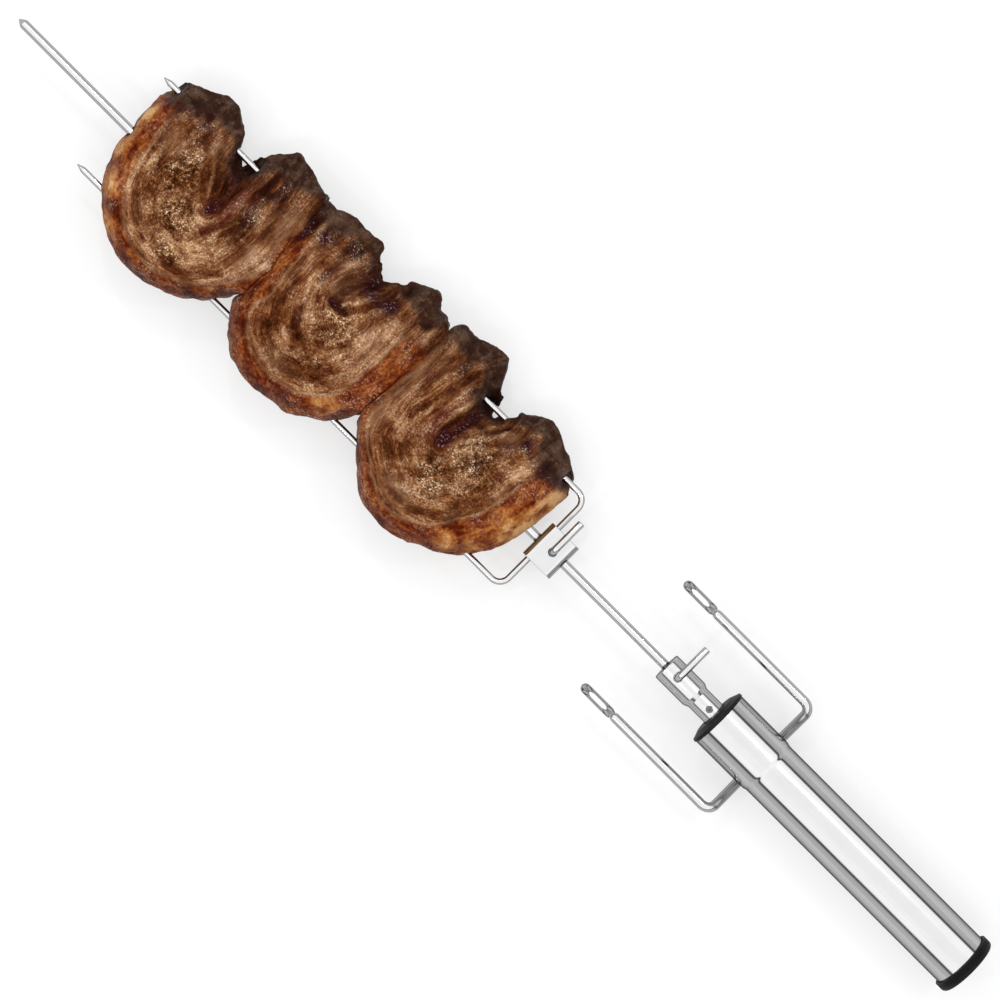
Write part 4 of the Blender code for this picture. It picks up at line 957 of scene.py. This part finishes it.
REAR = {
    "start": [],
    "rim": [
        (528.9, -54.3), (529.2, -45.3), (529.2, -25.9), (529.6, -6.5), (530.2, 12.9), (530.9, 27.2),
        (528.6, 31.7), (526, 35.6), (521.5, 40.1), (515, 46.6), (508.5, 51.8), (502.1, 56.9), (495.6, 61.5),
        (487.2, 64.7), (479.4, 66.6), (471.7, 67.3), (463.3, 66), (454.8, 63.4), (447.1, 59.5),
        (438.7, 55.6), (430.9, 51.8), (424.4, 46.6), (419.9, 40.1), (414.7, 33.6), (409.6, 25.9),
        (405, 16.2), (403.1, 6.5), (401.8, -3.2), (400.5, -16.2), (399.2, -25.9), (398.9, -33.6),
    ],
    "finish": [
        (403.1, -39.5), (405, -44.6), (411.5, -47.9), (417.3, -51.1), (424.4, -55), (430.9, -58.2),
        (438.7, -60.8), (443.2, -60.2), (449.7, -56.3), (454.8, -51.8), (459.4, -50.5), (460, -45.3),
        (465.2, -38.8), (469.1, -34.3), (473, -36.2), (474.3, -41.4), (474.9, -47.2), (479.4, -53.1),
        (482.7, -59.5), (487.2, -65.3), (490.4, -69.2), (497.5, -68.6), (505.3, -66.6), (515, -64.1),
        (519.5, -64.7), (524.1, -64.7), (528, -59.5),
    ],
    "crease": [(473, -40.1), (476.2, -32.4), (478.8, -24.6), (481.4, -15.5), (483.3, -6.5), (481.4, 1.9)],
    "fat": [
        (0, 1.5), (0.2, 2.5), (0.29, 5), (0.42, 8), (0.54, 9.5), (0.63, 15), (0.72, 22), (0.86, 24),
        (0.95, 24), (1, 20),
    ],
    "char": [
        (529.9, 53.1), (521.5, 47.9), (505.3, 54.3), (492.4, 49.2), (482.7, 32.4), (471.7, 32.4),
        (463.3, 41.4), (450.3, 45.3), (437.4, 45.3), (429, 36.2), (419.9, 28.5), (408.3, 29.8),
        (397.9, 36.2),
    ],
    "slumps": [(474.9, -39.5, 8.4, 13), (401.8, -39.5, 9.1, 15)],
    "folds": [
        ([
            (439.3, -44), (445.8, -34.9), (453.5, -27.2), (461.3, -18.1), (469.1, -9.1), (475.5, -1.3),
        ], 1.9, 1.8),
        ([(453.5, -41.4), (459.4, -33.6), (466.5, -23.3), (473.6, -12.9), (478.8, -3.9)], 1.7, 1.5),
        ([(498.8, -47.9), (498.2, -33.6), (496.2, -19.4), (496.9, -5.2), (500.8, 9.1)], 1.4, 2.4),
        ([(431.5, -25.9), (430.3, -6.5), (435.4, 14.2), (448.4, 33.6), (466.5, 45.3)], 0.8, 1.6),
        ([(510.5, -40.1), (513.7, -25.9), (513.7, -3.2), (511.1, 19.4), (500.8, 37.5)], 0.8, 1.5),
        ([(481.4, 3.9), (478.8, 15.5), (481.4, 27.2), (493, 32.4)], 1.0, 2.2),
    ],
    "patches": REAR_PATCHES,
}
SLICES = {"meat_slice_tip": TIP, "meat_slice_middle": MIDDLE, "meat_slice_rear": REAR}

MEAT_HALF = 27.0
MEAT_Y = (-69.3, 66.3)
MEAT_Z = (-28.6, 27.8)
LEAST_DEPTH = 4.5
VOXEL = 1.05 * MM
SPIT_HOLE = 3.7
TINE_HOLE = 2.6
# Where two slices press on each other (x, bow), and how far their joint leans away from the centre
CONTACTS = ((644.2, 4.5), (530.2, -1.5))
CONTACT_WIDTH = 11
CONTACT_REACH = 24
CONTACT_LEAN = 0.0129
MEAT_CENTRE_X = 429
# Where along Y the slices' sides draw in, and where their two ends thin out
SIDE_SPAN = (14, 34)
LOBE_SPAN = (24, 54)
HASH = (374761393, 668265263, 1442695041, 974711, 1274126177)
CHANNELS = ("char", "gold_and_glints", "pale", "clot_and_shade", "red", "pale_lit_rim", "shade")


def lattice(points, seed):
    """Smooth random values from -1 to 1 on a unit grid."""
    base = np.floor(points).astype(np.int64)
    part = points - base
    part = part * part * (3 - 2 * part)
    total = np.zeros(len(points))
    for corner in range(8):
        offset = np.array([corner & 1, corner >> 1 & 1, corner >> 2 & 1])
        at = base + offset
        mixed = at[:, 0] * HASH[0] + at[:, 1] * HASH[1] + at[:, 2] * HASH[2] + seed * HASH[3]
        mixed = (mixed ^ (mixed >> 13)) * HASH[4] & 0xFFFFFFFF
        mixed = (mixed ^ (mixed >> 16)) & 0xFFFF
        weight = np.prod(np.where(offset, part, 1 - part), axis=1)
        total += weight * (mixed / 32767.5 - 1)
    return total


def noise(points, size, seed, octaves=1):
    """Fractal noise; size is a wavelength in millimetres, or one for each axis."""
    total, weight = np.zeros(len(points)), 1.0
    scaled = points / np.asarray(size, float)
    for octave in range(octaves):
        total += weight * lattice(scaled * 2 ** octave + 17.3 * octave, seed + octave)
        weight *= 0.5
    return total


def ease(values, low, high):
    """A smooth step from 0 at low to 1 at high."""
    t = np.clip((values - low) / (high - low), 0, 1)
    return t * t * (3 - 2 * t)


def bell(values, width):
    """A bump of height 1 about 0."""
    return np.exp(-(values / width) ** 2)


def smoothed(points, steps, closed=False):
    """A Catmull-Rom curve through points."""
    points = np.array(points, float)
    count = len(points)
    result = []
    for i in range(count if closed else count - 1):
        around = [i + k for k in (-1, 0, 1, 2)]
        if not closed:
            around = [min(max(k, 0), count - 1) for k in around]
        a, b, c, d = (points[k % count] for k in around)
        for step in range(steps):
            t = step / steps
            result.append(0.5 * (
                2 * b + (c - a) * t + (2 * a - 5 * b + 4 * c - d) * t ** 2
                + (3 * b - a - 3 * c + d) * t ** 3
            ))
    if not closed:
        result.append(points[-1])
    return np.array(result)


def nearest(points, path, closed=False):
    """Distance to a path, and how far along the path its nearest point is."""
    ends = np.roll(path, -1, axis=0) if closed else path[1:]
    starts = path if closed else path[:-1]
    best = np.full(len(points), 1e9)
    along = np.zeros(len(points))
    travelled = 0.0
    for start, end in zip(starts, ends):
        step = end - start
        length = math.hypot(*step)
        if length == 0:
            continue
        t = np.clip(((points - start) @ step) / length ** 2, 0, 1)
        gap = np.hypot(*(points - start - t[:, None] * step).T)
        closer = gap < best
        best[closer] = gap[closer]
        along[closer] = travelled + t[closer] * length
        travelled += length
    return best, along / travelled, travelled


def relaxed(path, reach):
    """A path with its short wiggles averaged out, its ends kept."""
    gaps = np.hypot(*np.diff(path, axis=0).T)
    travel = np.concatenate([[0], np.cumsum(gaps)])
    spread = np.abs(travel[:, None] - travel[None, :])
    limit = np.minimum(travel, travel[-1] - travel)[:, None]
    weight = np.exp(-(spread / np.minimum(reach, limit / 2 + 0.01)) ** 2)
    return weight @ path / weight.sum(axis=1, keepdims=True)


def remeshed(outline):
    """An even closed mesh of the outline pulled out to the slice's thickness."""
    edit = bmesh.new()
    loops = []
    for z in (-MEAT_HALF, MEAT_HALF):
        loops.append([edit.verts.new((x * MM, y * MM, z * MM)) for x, y in outline])
    edit.faces.new(loops[0])
    edit.faces.new(loops[1])
    count = len(outline)
    for i in range(count):
        j = (i + 1) % count
        edit.faces.new((loops[0][i], loops[0][j], loops[1][j], loops[1][i]))
    bmesh.ops.recalc_face_normals(edit, faces=edit.faces)
    mesh = bpy.data.meshes.new("block")
    edit.to_mesh(mesh)
    edit.free()
    block = linked("block", mesh)
    mod = block.modifiers.new("remesh", "REMESH")
    mod.mode = "VOXEL"
    mod.voxel_size = VOXEL
    result = applied(block)
    bpy.data.objects.remove(block, do_unlink=True)
    return result


def shape_slice(place, outline, spec, seed):
    """Where the block's points move to, and the masks that colour it."""
    flat = place[:, :2]
    rim = smoothed(spec["rim"], 5)
    crease = smoothed(spec["crease"], 6)
    inward, _, _ = nearest(flat, outline, closed=True)
    depth, share, length = nearest(flat, relaxed(rim, 14))
    off_crease, down_crease, _ = nearest(flat, crease)
    cloud = noise(place, 15, seed, 2)
    bent = 44 * depth / (depth + off_crease + 2) + 1.3 * noise(place, 22, seed + 3, 2)
    grain = np.stack([share * length, bent, place[:, 2]], axis=1)
    lobe = ease(-flat[:, 1] + 4 * cloud, *LOBE_SPAN)
    side = ease(-flat[:, 1], *SIDE_SPAN)
    contact = np.zeros(len(place))
    for line, _ in CONTACTS:
        near = bell(flat[:, 0] - line, CONTACT_WIDTH)
        contact = np.maximum(contact, near * ease(flat[:, 1], 34, 22) * ease(-flat[:, 1], 70, 50))

    # Cross-section: flanks, rounded rim and the slump of the cut ends
    reach = 13 + 9 * side * (1 - contact) - 11.6 * contact
    wall = 9 - 2 * side * (1 - contact) + 17.5 * contact
    rise = 1 - (1 - np.clip(inward / reach, 0, 1)) ** 2
    top = MEAT_HALF * (1 - 0.42 * lobe)
    bottom = MEAT_HALF * (1 - 0.18 * lobe)
    drop = 2 * side * (1 - contact) * np.clip(1 - inward / 20, 0, 1) ** 2
    level = place[:, 2] / MEAT_HALF
    upper = level >= 0
    height = np.where(upper, top, bottom)
    z = level * (wall + (height - wall) * rise) - drop

    # Crease between the two arms
    flank = np.clip(np.abs(level) * 3 - 2, 0, 1) * np.sign(level)
    cut = 1 - down_crease
    crease_width = 1.8 + 3 * cut
    z -= flank * (1.5 + 9 * cut) * bell(off_crease, crease_width)
    z -= flank * (2 + 4 * cut) * bell(off_crease, 9)
    # Painted shade in and along the crease and the folds, with a lighter strip beside each fold
    hollow = (0.35 + 0.65 * cut) * bell(off_crease, 1.3 * crease_width)
    hollow += 0.45 * cut * bell(off_crease, 10)
    ripple = np.clip(1 + 0.6 * noise(place, 7, seed + 15, 2), 0, 2)
    for points, sink, breadth in spec["folds"]:
        off, _, _ = nearest(flat, smoothed(points, 5))
        z -= flank * sink * bell(off, breadth) * ripple
        hollow += 0.3 * sink * ripple * bell(off, breadth)
        hollow -= 0.10 * sink * bell(off - 2.4 * breadth, breadth)
    facing = np.sign(level)
    z = np.where(flank != 0, facing * np.maximum(z * facing, LEAST_DEPTH * np.abs(flank)), z)
    for x, y, radius, sink in spec["slumps"]:
        z -= sink * np.exp(-(((flat[:, 0] - x) ** 2 + (flat[:, 1] - y) ** 2) / radius ** 2) ** 1.5)

    # Fat outside, flesh inside, with a seam between them
    at, widths = zip(*spec["fat"])
    width = np.interp(share, at, widths) + 1.4 * noise(place, 11, seed + 5, 2)
    fat = 1 - ease(depth, width - 0.9, width + 0.9)
    fat *= 1 - ease(-flat[:, 1] + 5 * cloud, 28, 38)
    seam = bell(depth - width, 1.3)
    middle = bell(depth - 0.5 * width, 0.35 * width) * fat
    z += flank * (1.3 * middle - 0.9 * seam * (1 - lobe))
    moved = np.column_stack([flat, z])

    masks = {name: np.zeros(len(place)) for name in CHANNELS}
    at, starts = zip(*sorted(spec["char"]))
    start = np.interp(flat[:, 0], at, starts)
    ragged = 4.5 * noise(place, 9, seed + 9, 3)
    masks["char"] = ease(-flat[:, 1] + ragged, start - 4, start + 5)
    streaky = noise(grain, (15, 3.2, 15), seed + 11, 2)
    for name, spots in spec["patches"].items():
        for x, y, rx, ry, strength in spots:
            spot = np.exp(-(((flat[:, 0] - x) / rx) ** 2 + ((flat[:, 1] - y) / ry) ** 2))
            jittered = np.clip(spot * strength * (1 + 0.9 * streaky), 0, 1)
            masks[name] = np.maximum(masks[name], jittered)
    band = ease(depth, width, width + 0.8) * (1 - ease(depth, width + 1.2, width + 2.6))
    masks["pale"] = np.clip(np.maximum(masks["pale"], 0.9 * band * (1 - lobe)), 0, 1)
    # Painted shade down the crease, darkest where it cuts deepest
    groove = cut ** 0.6 * bell(off_crease, 1.2 + 2.4 * cut) * np.abs(flank)
    masks["clot_and_shade"] = np.clip(np.maximum(masks["clot_and_shade"], 0.75 * groove), 0, 1)
    masks["hollow"] = hollow * np.abs(flank)
    masks["fat"] = fat
    # Darker along the slice's outline, fading within about 3 mm, weaker on fat and none where slices touch
    jittered = inward + 0.9 * noise(place, 4, seed + 21, 2)
    masks["edge"] = (1 - ease(jittered, 0.2, 3.0)) * 0.8 * (1 - contact) * (1 - 0.8 * fat)
    return moved, grain, masks, contact * bell(inward, 8)


def roughened(moved, normals, grain, masks, seed):
    """Lumps, fibres and crust along the surface's own direction."""
    flesh = (1 - masks["fat"]) * (1 - masks["char"])
    lumps = noise(moved, 14, seed + 31, 2)
    fibres = noise(grain, (26, 3.6, 24), seed + 35, 2)
    beads = noise(moved, 2.9, seed + 37, 2)
    fine = flesh * ((0.75 - 0.3 * masks["gold_and_glints"]) * fibres + (0.2 + 0.75 * masks["gold_and_glints"]) * beads)
    fine += masks["fat"] * (0.3 * noise(moved, 4.5, seed + 41, 2) + 0.3 * fibres)
    crust = 1 - 2 * np.abs(noise(moved, 9, seed + 43, 2))
    fine += masks["char"] * (0.55 * crust + 0.45 * noise(moved, 3.4, seed + 47, 2) + 0.3 * fibres)
    swell = noise(moved, 9, seed + 51, 2)
    # Painted light and shade from the relief: raised lumps and fibres lighter, the crease and folds darker
    sunk_shade = masks.pop("hollow")
    masks["relief_shade"] = np.clip(0.52 + 0.32 * fine + 0.14 * lumps + 0.18 * swell - 0.40 * sunk_shade, 0, 1)
    lift = 1.2 * lumps + 0.7 * swell + fine - 0.8
    return moved + normals * lift[:, None]


def build_slice(name, spec, seed):
    """One folded slice: an even block, shaped, roughened, pressed on its neighbour and pierced."""
    outline = smoothed(spec["start"] + spec["rim"] + spec["finish"], 5, closed=True)
    mesh = remeshed(outline)
    count = len(mesh.vertices)
    place = np.empty(count * 3)
    mesh.vertices.foreach_get("co", place)
    place = place.reshape(-1, 3) / MM
    moved, grain, masks, touching = shape_slice(place, outline, spec, seed)
    mesh.vertices.foreach_set("co", (moved * MM).ravel())
    mesh.update()
    normals = np.empty(count * 3)
    mesh.vertex_normals.foreach_get("vector", normals)
    moved = roughened(moved, normals.reshape(-1, 3), grain, masks, seed)
    near = touching ** 6
    for line, bow in CONTACTS:
        offset = place[:, 0] - line
        height = np.clip(moved[:, 2] / MEAT_HALF, 0, 1)
        bowed = bow * ease(moved[:, 1], -24, 6) * (1 - ease(moved[:, 1], 22, 32))
        lean = CONTACT_LEAN * (line - MEAT_CENTRE_X)
        wavy = 1.5 * noise(moved * (0, 1, 1), 15, 7, 2) - height * (bowed + lean)
        shift = near * (line + 0.1 * np.sign(offset) - moved[:, 0]) + touching * wavy
        moved[:, 0] += np.where(np.abs(offset) < CONTACT_REACH, shift, 0)
    moved[:, 1] = np.clip(moved[:, 1], *MEAT_Y)
    moved[:, 2] = np.clip(moved[:, 2], *MEAT_Z)
    mesh.vertices.foreach_set("co", (moved * MM).ravel())
    for channel, values in masks.items():
        layer = mesh.attributes.new(channel, "FLOAT", "POINT")
        layer.data.foreach_set("value", np.clip(values, 0, 1).astype(np.float32))
    layer = mesh.attributes.new("grain", "FLOAT_VECTOR", "POINT")
    layer.data.foreach_set("vector", (grain * MM).astype(np.float32).ravel())
    mesh.update()
    low, high = moved[:, 0].min() - 5, moved[:, 0].max() + 5
    holes = [
        rod((low, y, 0), (high, y, 0), radius, 20)
        for y, radius in ((0, SPIT_HOLE), (TINE_Y, TINE_HOLE), (-TINE_Y, TINE_HOLE))
    ]
    mesh = boolean(mesh, holes, solver="MANIFOLD")
    add_piece(f"{name}_flesh", mesh, "roast_meat", name, "spit", sharp=180)


# Build

MATERIALS = make_materials()
build_camera()
build_world()
build_lamps()
build_floor()
build_handle()
build_drive()
build_spit()
build_bent_screw("coupling_thumb_screw", COUPLING_SCREW_X, 14.8, "coupling_screw")
build_bent_screw("clamp_thumb_screw", CLAMP_SCREW_X, 16.0, "clamp_screw")
build_fork()
build_frame()
for order, (slice_name, slice_spec) in enumerate(SLICES.items()):
    build_slice(slice_name, slice_spec, 100 * (order + 1))

slots = {part["node"]: part["material_slot"] for part in frame["record"]["subparts"]}
for node_name, node in NODES.items():
    if node_name not in REPLACED:
        node.data.materials.clear()
        node.data.materials.append(MATERIALS[slots[node_name]])

scene = bpy.context.scene
scene.view_settings.view_transform = "Standard"
scene.view_settings.look = "None"
